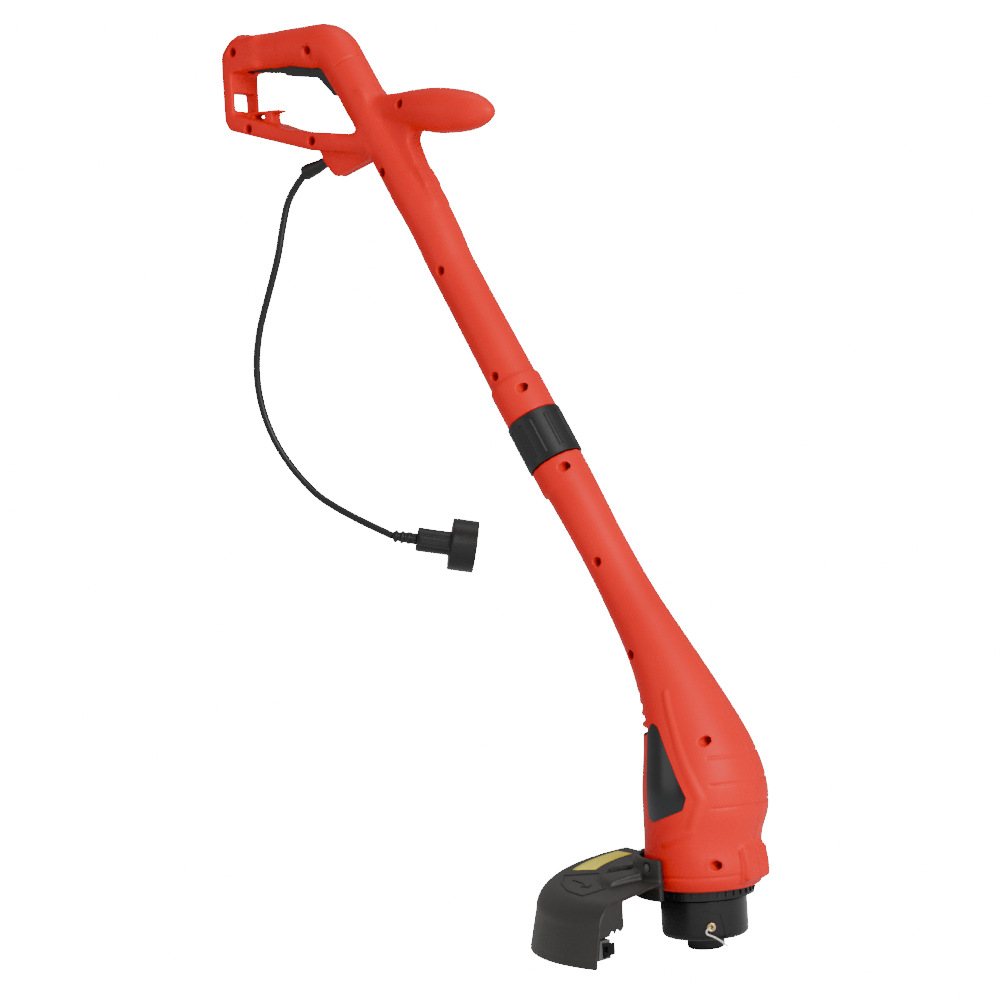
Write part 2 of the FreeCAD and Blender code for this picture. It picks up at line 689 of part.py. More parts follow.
# --- collar and swivel --------------------------------------------------------------------------
def lock_collar():
    """The twist collar that frees the lower unit to turn for edging, with grip flutes."""
    gap = DOWN_SHAFT * 0.4
    start = COLLAR_TOP + gap
    end = NECK - gap
    body = cylinder(COLLAR_RADIUS, start, end)
    body = body.makeChamfer(0.8, [e for e in body.Edges if e.Closed])
    body = body.cut(cylinder(TUBE_RADIUS + FIT, start, end))
    side = V(math.cos(LEAN), 0, math.sin(LEAN))
    for turn in range(0, 360, 30):
        groove_start = start + DOWN_SHAFT * 7.0 + side * (COLLAR_RADIUS + 3.2)
        groove_end = end - DOWN_SHAFT * 7.0 + side * (COLLAR_RADIUS + 3.2)
        groove = cylinder(4.0, groove_start, groove_end)
        groove.rotate(start, DOWN_SHAFT, turn)
        body = body.cut(groove)
    return body


def swivel_tube():
    """The tube fixed in the shaft that the lower unit turns on."""
    start = COLLAR_TOP - DOWN_SHAFT * TUBE_INSERTION
    end = NECK + DOWN_SHAFT * (TUBE_INSERTION - 4.0)
    return tube(TUBE_RADIUS, TUBE_RADIUS - TUBE_WALL, start, end)


DETENT_START = 24.0
DETENT_HEIGHT = 6.0
DETENT_RADIUS = TUBE_RADIUS + 3.5


def detent_ring():
    """A ring with two stops, keyed into the lower shells, that limits the half turn."""
    start = NECK + DOWN_SHAFT * DETENT_START
    end = NECK + DOWN_SHAFT * (DETENT_START + DETENT_HEIGHT)
    return tube(DETENT_RADIUS, TUBE_RADIUS + RUN, start, end)


# --- lower unit: neck and motor housing ---------------------------------------------------------
HOUSING = [
    # forward, height above ground, radius, lean in degrees
    (8.9, 473.5, 25.8, 29.6),
    (24.9, 433.5, 25.2, 29.6),
    (49.2, 391.0, 24.2, 29.6),
    (70.4, 353.9, 24.9, 29.6),
    (94.2, 313.0, 27.8, 28.5),
    (117.6, 270.8, 33.7, 25.0),
    (136.2, 228.0, 43.5, 17.0),
    (149.0, 185.0, 55.4, 8.0),
    (153.2, 150.0, 60.8, 0.0),
    (151.4, 120.0, 59.6, 0.0),
    (149.2, 92.0, 58.6, 0.0),
    (HEAD_REACH + RIM_SHIFT, 70.0, RIM_RADIUS, 0.0),
]


def housing_solid(shrink):
    wires = []
    for reach, height, radius, lean in HOUSING:
        angle = math.radians(lean)
        centre = motor(height, reach - HEAD_REACH)
        if height == HEAD_DROP:
            centre = NECK
        normal = V(math.sin(angle), 0, -math.cos(angle))
        wires.append(Part.Wire(Part.makeCircle(radius - shrink, centre, normal)))
    body = Part.makeLoft(wires, True, False)
    lip = cone(LIP_RADIUS - shrink, RIM_RADIUS - shrink,
               motor(HOUSING_BOTTOM, RIM_SHIFT), motor(70.0, RIM_SHIFT))
    return body.fuse(lip)


def lower_band():
    """The thicker band of the neck below the collar."""
    return cylinder(NECK_RADIUS, NECK, NECK + DOWN_SHAFT * (NECK_BAND * 0.65))


def rim_pad():
    """The raised flat pad on the front of the rim."""
    return block(motor(72.0, RIM_RADIUS - 8.0, -18.0), motor(104.0, RIM_RADIUS + 7.5, 18.0))


def vent_slots():
    """Four cooling slots across the rear of the housing."""
    slots = []
    for count in range(4):
        height = 213.0 + 11.0 * count
        rear = motor(height, -27.0 - 0.5 * (height - 213.0))
        slots.append(block(rear - V(40.0, 44.0, 2.5), rear + V(0.0, 44.0, 2.5)))
    return fuse(slots)


def neck_socket():
    start = NECK + DOWN_SHAFT * (TUBE_INSERTION - 6.0)
    ring = cylinder(TUBE_RADIUS + 6.0, start, NECK + DOWN_SHAFT * (TUBE_INSERTION + 2.0))
    end_ring = cylinder(NECK_RADIUS - 1.0, NECK, NECK + DOWN_SHAFT * 6.0)
    detent_seat = cylinder(DETENT_RADIUS + 4.0, NECK + DOWN_SHAFT * (DETENT_START - 3.0),
                           NECK + DOWN_SHAFT * (DETENT_START + DETENT_HEIGHT + 3.0))
    return fuse([ring, end_ring, detent_seat])


def motor_seats():
    """Rings inside the housing that hold the motor and its bearings."""
    top = MOTOR_BOTTOM + MOTOR_HEIGHT
    low = disc(RIM_RADIUS - 2, MOTOR_BOTTOM + 6.0, MOTOR_BOTTOM + 10.0)
    high = disc(RIM_RADIUS - 2, top - 12.0, top - 8.0)
    floor = disc(RIM_RADIUS - 3, HOUSING_BOTTOM, HOUSING_BOTTOM + 3.0)
    return [low, high, floor]


def lower_screw_places():
    side = V(math.cos(LEAN), 0, math.sin(LEAN))
    neck_screw = NECK + DOWN_SHAFT * 14.0 + side * NECK_SCREW_OFFSET
    places = [(neck_screw.x, neck_screw.z)]
    spots = [(-86.0, 376.0), (-50.0, 286.0), (36.0, 205.0), (44.0, 88.0), (-47.0, 150.0)]
    for forward, height in spots:
        point = motor(height, forward)
        places.append((point.x, point.z))
    return places


def lower_unit():
    outer = fuse([housing_solid(0), lower_band(), rim_pad()])
    cavity = housing_solid(WALL)
    for ring in motor_seats():
        cavity = cavity.cut(ring)
    cavity = cavity.cut(neck_socket())
    top = MOTOR_BOTTOM + MOTOR_HEIGHT
    cuts = [
        cylinder(TUBE_RADIUS + FIT, NECK - DOWN_SHAFT, NECK + DOWN_SHAFT * (TUBE_INSERTION - 3.0)),
        cylinder(DETENT_RADIUS + 0.1, NECK + DOWN_SHAFT * (DETENT_START - 0.1),
                 NECK + DOWN_SHAFT * (DETENT_START + DETENT_HEIGHT + 0.1)),
        lower_lead_path(LEAD_RADIUS + 0.8),
        disc(MOTOR_RADIUS, MOTOR_BOTTOM, top + 30.0),
        disc(FAN_RADIUS + 3.0, HOUSING_BOTTOM + 3.0, MOTOR_BOTTOM),
        disc(BEARING_RADIUS, HOUSING_BOTTOM - 1.0, HOUSING_BOTTOM + 4.0),
        vent_slots(),
    ]
    return shell_pair(outer, cavity, lower_screw_places(), cuts)


# --- motor --------------------------------------------------------------------------------------
STACK_LOW = MOTOR_BOTTOM + 8.0
STACK_HIGH = MOTOR_BOTTOM + 36.0
AIR_GAP = 0.6
BRUSH_HEIGHT = MOTOR_BOTTOM + 44.0
COMMUTATOR_RADIUS = 10.0
TOP_BEARING = MOTOR_BOTTOM + MOTOR_HEIGHT + 2.0
LOW_BEARING = HOUSING_BOTTOM - 4.0


def field_core():
    """The laminated stator, bored for the armature, with two windows for its coils."""
    core = disc(MOTOR_RADIUS - 0.5, STACK_LOW, STACK_HIGH)
    core = core.cut(disc(ROTOR_RADIUS + AIR_GAP, STACK_LOW, STACK_HIGH))
    for side in (-1, 1):
        low = motor(STACK_LOW, -9.0, side * 24.0 - 4.0)
        high = motor(STACK_HIGH, 9.0, side * 24.0 + 4.0)
        core = core.cut(block(low, high))
    return core


def field_coils():
    coils = []
    for side in (-1, 1):
        low = motor(STACK_LOW - 4.0, -8.7, side * 24.0 - 3.7)
        high = motor(STACK_HIGH + 4.0, 8.7, side * 24.0 + 3.7)
        coils.append(block(low, high))
    return Part.makeCompound(coils)


def brush_frame():
    """The moulded top frame that carries the upper bearing and the brushes."""
    top = TOP_BEARING + BEARING_HEIGHT
    frame = disc(MOTOR_RADIUS - 0.5, STACK_HIGH + 4.5, TOP_BEARING)
    frame = frame.cut(disc(MOTOR_RADIUS - 4.0, STACK_HIGH + 4.0, TOP_BEARING - 3.0))
    cup = disc(BEARING_RADIUS + 2.5, TOP_BEARING - 3.0, top)
    frame = frame.fuse(cup)
    frame = frame.cut(disc(BEARING_RADIUS, TOP_BEARING, top + 1))
    frame = frame.cut(disc(ROTOR_SHAFT_RADIUS + 1.0, TOP_BEARING - 4.0, top))
    return frame.removeSplitter()


def across_bar(side, radius_low, radius_high, height, half_size):
    near = min(side * radius_low, side * radius_high)
    far = max(side * radius_low, side * radius_high)
    return block(motor(height - half_size, near, -half_size), motor(height + half_size, far, half_size))


def carbon_brushes():
    bars = [across_bar(s, COMMUTATOR_RADIUS + 0.1, COMMUTATOR_RADIUS + 11.0, BRUSH_HEIGHT, 3.0)
            for s in (-1, 1)]
    return Part.makeCompound(bars)


def brush_springs():
    springs = []
    for side in (-1, 1):
        start = motor(BRUSH_HEIGHT, 0, side * (COMMUTATOR_RADIUS + 11.0))
        end = motor(BRUSH_HEIGHT, 0, side * (MOTOR_RADIUS - 4.2))
        springs.append(tube(2.4, 1.6, start, end))
    return Part.makeCompound(springs)


def armature_core():
    """The slotted armature stack, pressed on the rotor shaft."""
    core = disc(ROTOR_RADIUS, STACK_LOW, STACK_HIGH)
    for turn in range(0, 360, 30):
        slot = cylinder(2.2, motor(STACK_LOW, ROTOR_RADIUS - 2.6), motor(STACK_HIGH, ROTOR_RADIUS - 2.6))
        slot.rotate(motor(0), UP, turn)
        core = core.cut(slot)
    return core.cut(disc(ROTOR_SHAFT_RADIUS, STACK_LOW, STACK_HIGH))


def armature_windings():
    low = disc(ROTOR_RADIUS - 1.5, STACK_LOW - 5.0, STACK_LOW)
    high = disc(ROTOR_RADIUS - 1.5, STACK_HIGH, STACK_HIGH + 4.0)
    hole = disc(ROTOR_SHAFT_RADIUS, STACK_LOW - 6.0, STACK_HIGH + 5.0)
    return Part.makeCompound([low.cut(hole), high.cut(hole)])


def commutator():
    ring = disc(COMMUTATOR_RADIUS, STACK_HIGH + 5.0, TOP_BEARING - 4.5)
    for turn in range(0, 360, 30):
        low = motor(STACK_HIGH + 7.0, COMMUTATOR_RADIUS - 0.8, -0.3)
        high = motor(TOP_BEARING - 4.5, COMMUTATOR_RADIUS + 1.0, 0.3)
        slit = block(low, high)
        slit.rotate(motor(0), UP, turn)
        ring = ring.cut(slit)
    return ring.cut(disc(ROTOR_SHAFT_RADIUS, STACK_HIGH, TOP_BEARING))


def rotor_shaft():
    return disc(ROTOR_SHAFT_RADIUS, NUT_LOW, TOP_BEARING + BEARING_HEIGHT - 0.5)


def bearing(low):
    """A ball bearing drawn as its two rings with a shield between them."""
    ring = disc(BEARING_RADIUS - 0.02, low, low + BEARING_HEIGHT)
    groove = disc(BEARING_RADIUS - 2.0, low + BEARING_HEIGHT - 0.6, low + BEARING_HEIGHT)
    inner = disc(ROTOR_SHAFT_RADIUS + 2.0, low, low + BEARING_HEIGHT)
    body = ring.cut(groove).fuse(inner)
    return body.cut(disc(ROTOR_SHAFT_RADIUS + RUN, low - 1, low + BEARING_HEIGHT + 1)).removeSplitter()


def cooling_fan():
    low = HOUSING_BOTTOM + 5.0
    hub = disc(ROTOR_SHAFT_RADIUS + 5.0, low, low + 9.0)
    plate = disc(FAN_RADIUS, low, low + 1.6)
    blades = []
    for turn in range(0, 360, 40):
        corner = motor(low + 1.0, ROTOR_SHAFT_RADIUS + 4.0, -0.8)
        blade = block(corner, motor(low + 9.0, FAN_RADIUS - 1.0, 0.8))
        blade.rotate(motor(0), UP, turn)
        blades.append(blade)
    fan = fuse([hub, plate] + blades)
    return fan.cut(disc(ROTOR_SHAFT_RADIUS, low - 1, low + 10.0))


def motor_screws():
    screws = []
    for side in (-1, 1):
        low = motor(STACK_HIGH, side * 27.0)
        seat = motor(TOP_BEARING, side * 27.0)
        head = cylinder(3.0, seat, motor(TOP_BEARING + 2.2, side * 27.0))
        screws.append(cylinder(1.5, low, seat).fuse(head).removeSplitter())
    return Part.makeCompound(screws)


def motor_screw_holes(shape):
    for side in (-1, 1):
        low = motor(STACK_HIGH - 1.0, side * 27.0)
        shape = shape.cut(cylinder(1.5, low, motor(TOP_BEARING + 1.0, side * 27.0)))
    return shape


def lower_lead_path(radius):
    """The way of the mains lead down the neck, clear of the screws that cross it."""
    start = shaft_point(SHAFT_LENGTH + COLLAR_LENGTH / 2 + 1.0, -LEAD_OFFSET)
    middle = shaft_point(SHAFT_LENGTH + COLLAR_LENGTH + 150.0, -LEAD_OFFSET)
    end = motor(TOP_BEARING + BEARING_HEIGHT + 6.0, -14.0)
    first = cylinder(radius, start, middle)
    second = cylinder(radius, middle, end)
    return fuse([first, Part.makeSphere(radius, middle), second])


def lower_lead():
    """The mains lead from the swivel down the neck to the brush frame."""
    return lower_lead_path(LEAD_RADIUS)


# --- cutting head -------------------------------------------------------------------------------
RING_LOW = HOUSING_BOTTOM - RING_HEIGHT
HEAD_TOP = RING_LOW - 1.0
NUT_LOW = HEAD_TOP - 16.0
COVER_HEIGHT = 12.0
COVER_TOP = SPOOL_BOTTOM + COVER_HEIGHT
EYELET_HEIGHT = 27.0
EYELET_RADIUS = 3.2
EYELET_TURN = -48.5
SPOOL_LOW = SPOOL_BOTTOM + 4.0
SPOOL_HIGH = HEAD_TOP - HEAD_WALL - BUMP_TRAVEL - 2.5


def bottom_ring():
    """The fixed ribbed ring that closes the housing and holds the lower bearing."""
    ring = disc(RING_RADIUS, RING_LOW, HOUSING_BOTTOM)
    ring = ring.cut(disc(RING_RADIUS - 2.0, RING_LOW, HOUSING_BOTTOM - 2.0))
    cup = disc(BEARING_RADIUS + 2.0, LOW_BEARING, HOUSING_BOTTOM)
    ribs = []
    for turn in range(0, 360, 24):
        rib = block(motor(RING_LOW + 1.0, BEARING_RADIUS + 1.0, -0.8),
                    motor(HOUSING_BOTTOM - 1.0, RING_RADIUS - 1.0, 0.8))
        rib.rotate(motor(0), UP, turn)
        ribs.append(rib)
    ring = fuse([ring, cup] + ribs)
    return ring.cut(disc(BEARING_RADIUS, LOW_BEARING - 1.0, HOUSING_BOTTOM + 1.0))


def eyelet_axis(turn):
    direction = V(math.cos(math.radians(turn)), math.sin(math.radians(turn)), 0)
    return motor(EYELET_HEIGHT), direction


def eyelet_turns():
    return (EYELET_TURN, EYELET_TURN + 180.0)


def along_eyelet(turn, radius, near, far):
    """A round bar along an eyelet's axis between two distances from the motor axis."""
    base, direction = eyelet_axis(turn)
    return cylinder(radius, base + direction * near, base + direction * far)


def eyelet_holes():
    near = SPOOL_RADIUS - 6.0
    far = SPOOL_RADIUS + 4.0
    return fuse([along_eyelet(turn, EYELET_RADIUS, near, far) for turn in eyelet_turns()])


def spool_housing():
    """The upper cup of the head that turns with the motor."""
    cup = disc(SPOOL_RADIUS, COVER_TOP, HEAD_TOP)
    top_rim = [e for e in cup.Edges if e.Closed and e.BoundBox.ZMax > GROUND_Z + HEAD_TOP - 0.1]
    cup = cup.makeFillet(2.0, top_rim)
    cup = cup.cut(disc(SPOOL_RADIUS - HEAD_WALL, COVER_TOP, HEAD_TOP - HEAD_WALL))
    hub = disc(ROTOR_SHAFT_RADIUS + 5.0, NUT_LOW + 6.0, HEAD_TOP)
    cup = cup.fuse(hub)
    cup = cup.cut(disc(ROTOR_SHAFT_RADIUS, NUT_LOW, HEAD_TOP + 1))
    return cup.cut(eyelet_holes()).removeSplitter()


def spool_cover():
    """The snap-on cover that holds the spool in, open in its middle for the bump knob."""
    cover = disc(SPOOL_RADIUS, SPOOL_BOTTOM, COVER_TOP)
    low_rim = [e for e in cover.Edges if e.Closed and e.BoundBox.ZMin < GROUND_Z + SPOOL_BOTTOM + 0.1]
    cover = cover.makeFillet(6.0, low_rim)
    cover = cover.cut(disc(SPOOL_RADIUS - HEAD_WALL, SPOOL_BOTTOM + HEAD_WALL, COVER_TOP))
    cover = cover.cut(disc(KNOB_FACE_RADIUS + FIT, SPOOL_BOTTOM - 1, COVER_TOP))
    return cover.cut(eyelet_holes()).removeSplitter()


def drive_nut():
    """The threaded drive piece that clamps the head on the rotor shaft."""
    nut = disc(ROTOR_SHAFT_RADIUS + 4.0, NUT_LOW, NUT_LOW + 6.0)
    return nut.cut(disc(ROTOR_SHAFT_RADIUS, NUT_LOW - 1, NUT_LOW + 7.0))


def spool():
    """The line spool: two flanges on a hub, part of the bump feed."""
    flange = SPOOL_RADIUS - HEAD_WALL - 1.2
    hub_radius = 20.0
    body = disc(flange, SPOOL_LOW, SPOOL_LOW + 1.8)
    body = body.fuse(disc(hub_radius, SPOOL_LOW, SPOOL_HIGH))
    body = body.fuse(disc(flange, SPOOL_HIGH - 1.8, SPOOL_HIGH))
    body = body.cut(disc(hub_radius - 2.5, SPOOL_LOW + 3.0, SPOOL_HIGH + 1))
    return body.removeSplitter()


def wound_line():
    low = SPOOL_LOW + 1.8
    high = SPOOL_HIGH - 1.8
    return disc(31.0, low, high).cut(disc(20.0, low, high))


def ring_spring(radius, wire_radius, base, height, gaps):
    """A spring of round-wire rings, each joined to the next by a short post on alternate sides."""
    step = height / gaps
    body = Part.makeTorus(radius, wire_radius, base)
    for number in range(gaps):
        low = base + UP * (step * number)
        side = V(radius if number % 2 else -radius, 0, 0)
        post = cylinder(0.8 * wire_radius, low + side, low + side + UP * step)
        body = body.fuse(post).fuse(Part.makeTorus(radius, wire_radius, low + UP * step))
    return body


def spool_spring():
    base = motor(SPOOL_LOW + 4.1)
    return ring_spring(13.5, 1.0, base, HEAD_TOP - HEAD_WALL - 1.2 - SPOOL_LOW - 4.1, 4)


def bump_knob():
    knob = disc(KNOB_FACE_RADIUS, 0, SPOOL_LOW)
    low_rim = [e for e in knob.Edges if e.Closed and e.BoundBox.ZMin < GROUND_Z + 0.1]
    return knob.makeFillet(3.0, low_rim)


def line_eyelets():
    eyelets = []
    for turn in eyelet_turns():
        sleeve = along_eyelet(turn, EYELET_RADIUS, SPOOL_RADIUS - 3.0, SPOOL_RADIUS + 1.2)
        flange = along_eyelet(turn, EYELET_RADIUS + 1.0, SPOOL_RADIUS + 0.1, SPOOL_RADIUS + 1.6)
        bore = along_eyelet(turn, 1.7, SPOOL_RADIUS - 4.0, SPOOL_RADIUS + 3.0)
        eyelets.append(sleeve.fuse(flange).cut(bore).removeSplitter())
    return Part.makeCompound(eyelets)


def line_tails():
    """The short free ends of cutting line that stick out of the eyelets."""
    tails = []
    for turn in eyelet_turns():
        base, direction = eyelet_axis(turn)
        outer = base + direction * (SPOOL_RADIUS + 4.0)
        tip = outer + V(direction.y * -9.0, direction.x * 9.0, -14.0)
        inner_run = cylinder(0.8, base + direction * 31.5, outer)
        tails.append(fuse([inner_run, Part.makeSphere(0.8, outer), cylinder(0.8, outer, tip)]))
    return Part.makeCompound(tails)


# --- guard --------------------------------------------------------------------------------------
BRACKET_RADIUS = RIM_RADIUS + 1.5 + FIT
BRACKET_WALL = 7.0


PLATE_EDGE = GUARD_RADIUS - GUARD_SHOULDER - 8.0
SHOULDER_LOW = GUARD_TOP - GUARD_SHOULDER


def guard_face():
    """Section of the guard: a flat plate that rolls over into a flared skirt."""
    slope = math.sqrt(0.5)
    outer = GUARD_SHOULDER
    inner = GUARD_SHOULDER - GUARD_WALL
    middle = (PLATE_EDGE + outer * slope, SHOULDER_LOW + outer * slope)
    inner_middle = (PLATE_EDGE + inner * slope, SHOULDER_LOW + inner * slope)
    spots = [(BRACKET_RADIUS, GUARD_TOP), (PLATE_EDGE, GUARD_TOP), middle,
             (PLATE_EDGE + outer, SHOULDER_LOW), (GUARD_RADIUS, GUARD_BOTTOM),
             (GUARD_RADIUS - GUARD_WALL, GUARD_BOTTOM), (PLATE_EDGE + inner, SHOULDER_LOW),
             inner_middle, (PLATE_EDGE, GUARD_TOP - GUARD_WALL),
             (BRACKET_RADIUS, GUARD_TOP - GUARD_WALL)]
    p = [motor(height, radius) for radius, height in spots]
    edges = [Part.LineSegment(p[a], p[b]) for a, b in ((0, 1), (3, 4), (4, 5), (5, 6), (8, 9), (9, 0))]
    edges += [Part.Arc(p[1], p[2], p[3]), Part.Arc(p[6], p[7], p[8])]
    wire = Part.Wire(Part.__sortEdges__([edge.toShape() for edge in edges]))
    return Part.Face(wire)


def skirt_inner(height):
    """Radius of the skirt's inner face at a height below its shoulder."""
    top_radius = PLATE_EDGE + GUARD_SHOULDER - GUARD_WALL
    low_radius = GUARD_RADIUS - GUARD_WALL
    share = (SHOULDER_LOW - height) / (SHOULDER_LOW - GUARD_BOTTOM)
    return top_radius + (low_radius - top_radius) * share


def turned(face, start, end):
    """Turn a section in the plane Y = 0 about the motor axis between two angles."""
    body = face.revolve(motor(0), UP, end - start)
    body.rotate(motor(0), UP, start)
    return body


def sector(profile, start, end):
    """Turn (radius, height) points about the motor axis between two angles."""
    points = [motor(height, radius) for radius, height in profile]
    return turned(Part.Face(Part.makePolygon(points + [points[0]])), start, end)


def ring_sector(inner, outer, low, high, start, end):
    profile = [(inner, low), (outer, low), (outer, high), (inner, high)]
    return sector(profile, start, end)


def guard_bosses():
    """Two stepped blocks on the plate beside the bracket."""
    near = BRACKET_RADIUS + BRACKET_WALL - 1.0
    tall = sector([(near, GUARD_TOP - 1.0), (near + 30.0, GUARD_TOP - 1.0), (near + 25.0, GUARD_TOP + 7.0),
                   (near, GUARD_TOP + 10.0)], GUARD_START + 28.0, GUARD_START + 58.0)
    low = sector([(near, GUARD_TOP - 1.0), (near + 38.0, GUARD_TOP - 1.0), (near + 34.0, GUARD_TOP + 5.0),
                  (near, GUARD_TOP + 8.0)], GUARD_START + 66.0, GUARD_START + 88.0)
    return [tall, low]


def end_gusset():
    """The toothed web that stiffens the guard's end."""
    top = GUARD_TOP - GUARD_WALL + 0.5
    low = GUARD_TOP - 34.0
    high = low + 6.0
    reach = skirt_inner(SHOULDER_LOW) + 0.5
    start = PLATE_EDGE - 14.0
    profile = [(start, top), (start, high), (start + 6.0, low), (start + 10.0, high), (start + 14.0, low),
               (start + 18.0, high), (start + 22.0, low), (reach, low), (reach, SHOULDER_LOW)]
    roll = GUARD_SHOULDER - GUARD_WALL / 2
    for turn in (math.radians(25), math.radians(50), math.radians(75)):
        profile.append((PLATE_EDGE + roll * math.cos(turn), SHOULDER_LOW + roll * math.sin(turn)))
    profile.append((PLATE_EDGE, top))
    return sector(profile, GUARD_END - 1.2, GUARD_END)


def guard():
    skirt = turned(guard_face(), GUARD_START, GUARD_END)
    bracket = ring_sector(BRACKET_RADIUS, BRACKET_RADIUS + BRACKET_WALL, HOUSING_BOTTOM - 8.0,
                          GUARD_TOP + 21.0, GUARD_START - 6.0, GUARD_END - 1.0)
    body = fuse([skirt, bracket, end_gusset()] + guard_bosses())
    for turn in guard_screw_turns():
        base, direction = guard_screw_axis(turn)
        near = base + direction * (BRACKET_RADIUS - 2)
        far = base + direction * (BRACKET_RADIUS + 46)
        body = body.cut(cylinder(2.0 + RUN, near, far))
        body = body.cut(cylinder(4.5, base + direction * (BRACKET_RADIUS + 4.0), far))
    return body.removeSplitter()


def guard_screw_turns():
    return (GUARD_START + 18.0, GUARD_END - 16.0)


def guard_screw_axis(turn):
    direction = V(math.cos(math.radians(turn)), math.sin(math.radians(turn)), 0)
    return motor(GUARD_TOP + 13.0), direction


def guard_screws():
    screws = []
    for turn in guard_screw_turns():
        base, direction = guard_screw_axis(turn)
        start = base + direction * (RIM_RADIUS - 11.0)
        seat = base + direction * (BRACKET_RADIUS + 4.0)
        head = cylinder(3.8, seat, base + direction * (BRACKET_RADIUS + 6.4))
        screws.append(cylinder(2.0, start, seat).fuse(head).removeSplitter())
    return Part.makeCompound(screws)


def guard_screw_holes(shape):
    for turn in guard_screw_turns():
        base, direction = guard_screw_axis(turn)
        near = base + direction * (RIM_RADIUS - 12.0)
        shape = shape.cut(cylinder(2.0, near, base + direction * (RIM_RADIUS + 9.0)))
    return shape


CUTTER_RADIUS = GUARD_RADIUS - 19.0
CUTTER_LOW = GUARD_BOTTOM + 6.0


def cutter_holder():
    """The block inside the skirt's end that carries the line-cutting blade."""
    inner = CUTTER_RADIUS - 4.0
    top = CUTTER_LOW + 20.0
    low = CUTTER_LOW + 2.0
    body = sector([(inner, low), (skirt_inner(low), low), (skirt_inner(top), top), (inner, top)],
                  GUARD_END - 7.0, GUARD_END)
    return body.cut(cutter_hole())


def blade_place(across, radial, height):
    turn = math.radians(GUARD_END)
    out = V(math.cos(turn), math.sin(turn), 0)
    forward = V(-math.sin(turn), math.cos(turn), 0)
    return motor(height) + out * radial + forward * across


def cutter_blade():
    """A small steel blade that trims the line to length."""
    corners = [(CUTTER_RADIUS - 9.0, CUTTER_LOW + 5.0), (CUTTER_RADIUS + 8.0, CUTTER_LOW + 4.0),
               (CUTTER_RADIUS + 8.0, CUTTER_LOW + 18.0), (CUTTER_RADIUS - 9.0, CUTTER_LOW + 16.0)]
    points = [blade_place(0.0, radial, height) for radial, height in corners]
    face = Part.Face(Part.makePolygon(points + [points[0]]))
    turn = math.radians(GUARD_END)
    blade = face.extrude(V(-math.sin(turn), math.cos(turn), 0) * 1.2)
    return blade.cut(cutter_hole())


def cutter_hole():
    """The hole for the blade's screw through the blade and its holder."""
    radial = CUTTER_RADIUS + 2.0
    start = blade_place(-8.0, radial, CUTTER_LOW + 11.0)
    return cylinder(1.4, start, blade_place(3.0, radial, CUTTER_LOW + 11.0))


def cutter_screw():
    radial = CUTTER_RADIUS + 2.0
    start = blade_place(-8.0, radial, CUTTER_LOW + 11.0)
    seat = blade_place(1.2, radial, CUTTER_LOW + 11.0)
    head = cylinder(2.6, seat, blade_place(3.0, radial, CUTTER_LOW + 11.0))
    return cylinder(1.4, start, seat).fuse(head).removeSplitter()


def guard_label():
    """A thin label laid on the guard's plate."""
    low = GUARD_RADIUS * 0.635
    high = PLATE_EDGE - 6.0
    return ring_sector(low, high, GUARD_TOP, GUARD_TOP + 0.3, GUARD_START + 8.0, GUARD_START + 42.0)


def rating_label():
    """The thin label on the right side of the motor housing."""
    points = [(-26.0, 212.0), (-19.0, 223.0), (-11.0, 219.0), (10.0, 184.0), (26.0, 154.0),
              (22.0, 142.0), (-14.0, 129.0), (-22.0, 132.0)]
    outline = [(MOTOR_X + forward, GROUND_Z + height) for forward, height in points]
    plate = rounded_slab(outline, [4.0, 4.0, 4.0, 0, 5.0, 4.0, 3.0, 3.0], 300.0)
    skin = housing_solid(-0.3).cut(housing_solid(0))
    return biggest(half(plate.common(skin), -1))


# --- mains cord and plug ------------------------------------------------------------------------
def power_cord():
    return polyline_tube(CORD_ROUTE, CORD_DIAMETER, "power_cord")


def plug_point(distance, across=0.0, lift=0.0):
    along = V(PLUG_AXIS).normalize()
    side = V(-along.y, along.x, 0).normalize()
    top = along.cross(side)
    return V(*CORD_ROUTE[-1]) + along * distance + side * across + top * lift


def plug_tail():
    """The ribbed strain relief behind the plug."""
    core = cone(4.6, 6.4, plug_point(0), plug_point(PLUG_TAIL_LENGTH))
    ribs = [cylinder(6.8, plug_point(d), plug_point(d + 3.4)) for d in (2.0, 9.0, 16.0)]
    return fuse([core] + ribs).cut(power_cord())


def plug_box(start, end, half_width, half_height):
    corners = [(-1, -1), (1, -1), (1, 1), (-1, 1)]
    points = [plug_point(start, a * half_width, b * half_height) for a, b in corners]
    face = Part.Face(Part.makePolygon(points + [points[0]]))
    return face.extrude(plug_point(end).sub(plug_point(start)))


def plug_body():
    """The plug's grip with side wings and its round shroud, open at the front."""
    start = PLUG_TAIL_LENGTH
    end = start + PLUG_BODY_LENGTH
    grip = cylinder(13.0, plug_point(start), plug_point(end))
    wings = plug_box(start + 2.0, end, 19.0, 5.0)
    back = cylinder(SHROUD_RADIUS, plug_point(end), plug_point(end + 4.0))
    wall = tube(SHROUD_RADIUS, SHROUD_RADIUS - SHROUD_WALL, plug_point(end + 4.0),
                plug_point(end + SHROUD_LENGTH))
    return fuse([grip, wings, back, wall])


def plug_blades():
    """Two flat blades and a round earth pin inside the shroud."""
    base = PLUG_TAIL_LENGTH + PLUG_BODY_LENGTH + 4.0
    blades = []
    for side in (-6.35, 6.35):
        corners = [(side - 0.75, -1.7), (side + 0.75, -1.7), (side + 0.75, 4.6), (side - 0.75, 4.6)]
        points = [plug_point(base, a, b) for a, b in corners]
        face = Part.Face(Part.makePolygon(points + [points[0]]))
        blades.append(face.extrude(plug_point(base + 16.0).sub(plug_point(base))))
    blades.append(cylinder(2.4, plug_point(base, 0, -8.0), plug_point(base + 18.0, 0, -8.0)))
    return Part.makeCompound(blades)


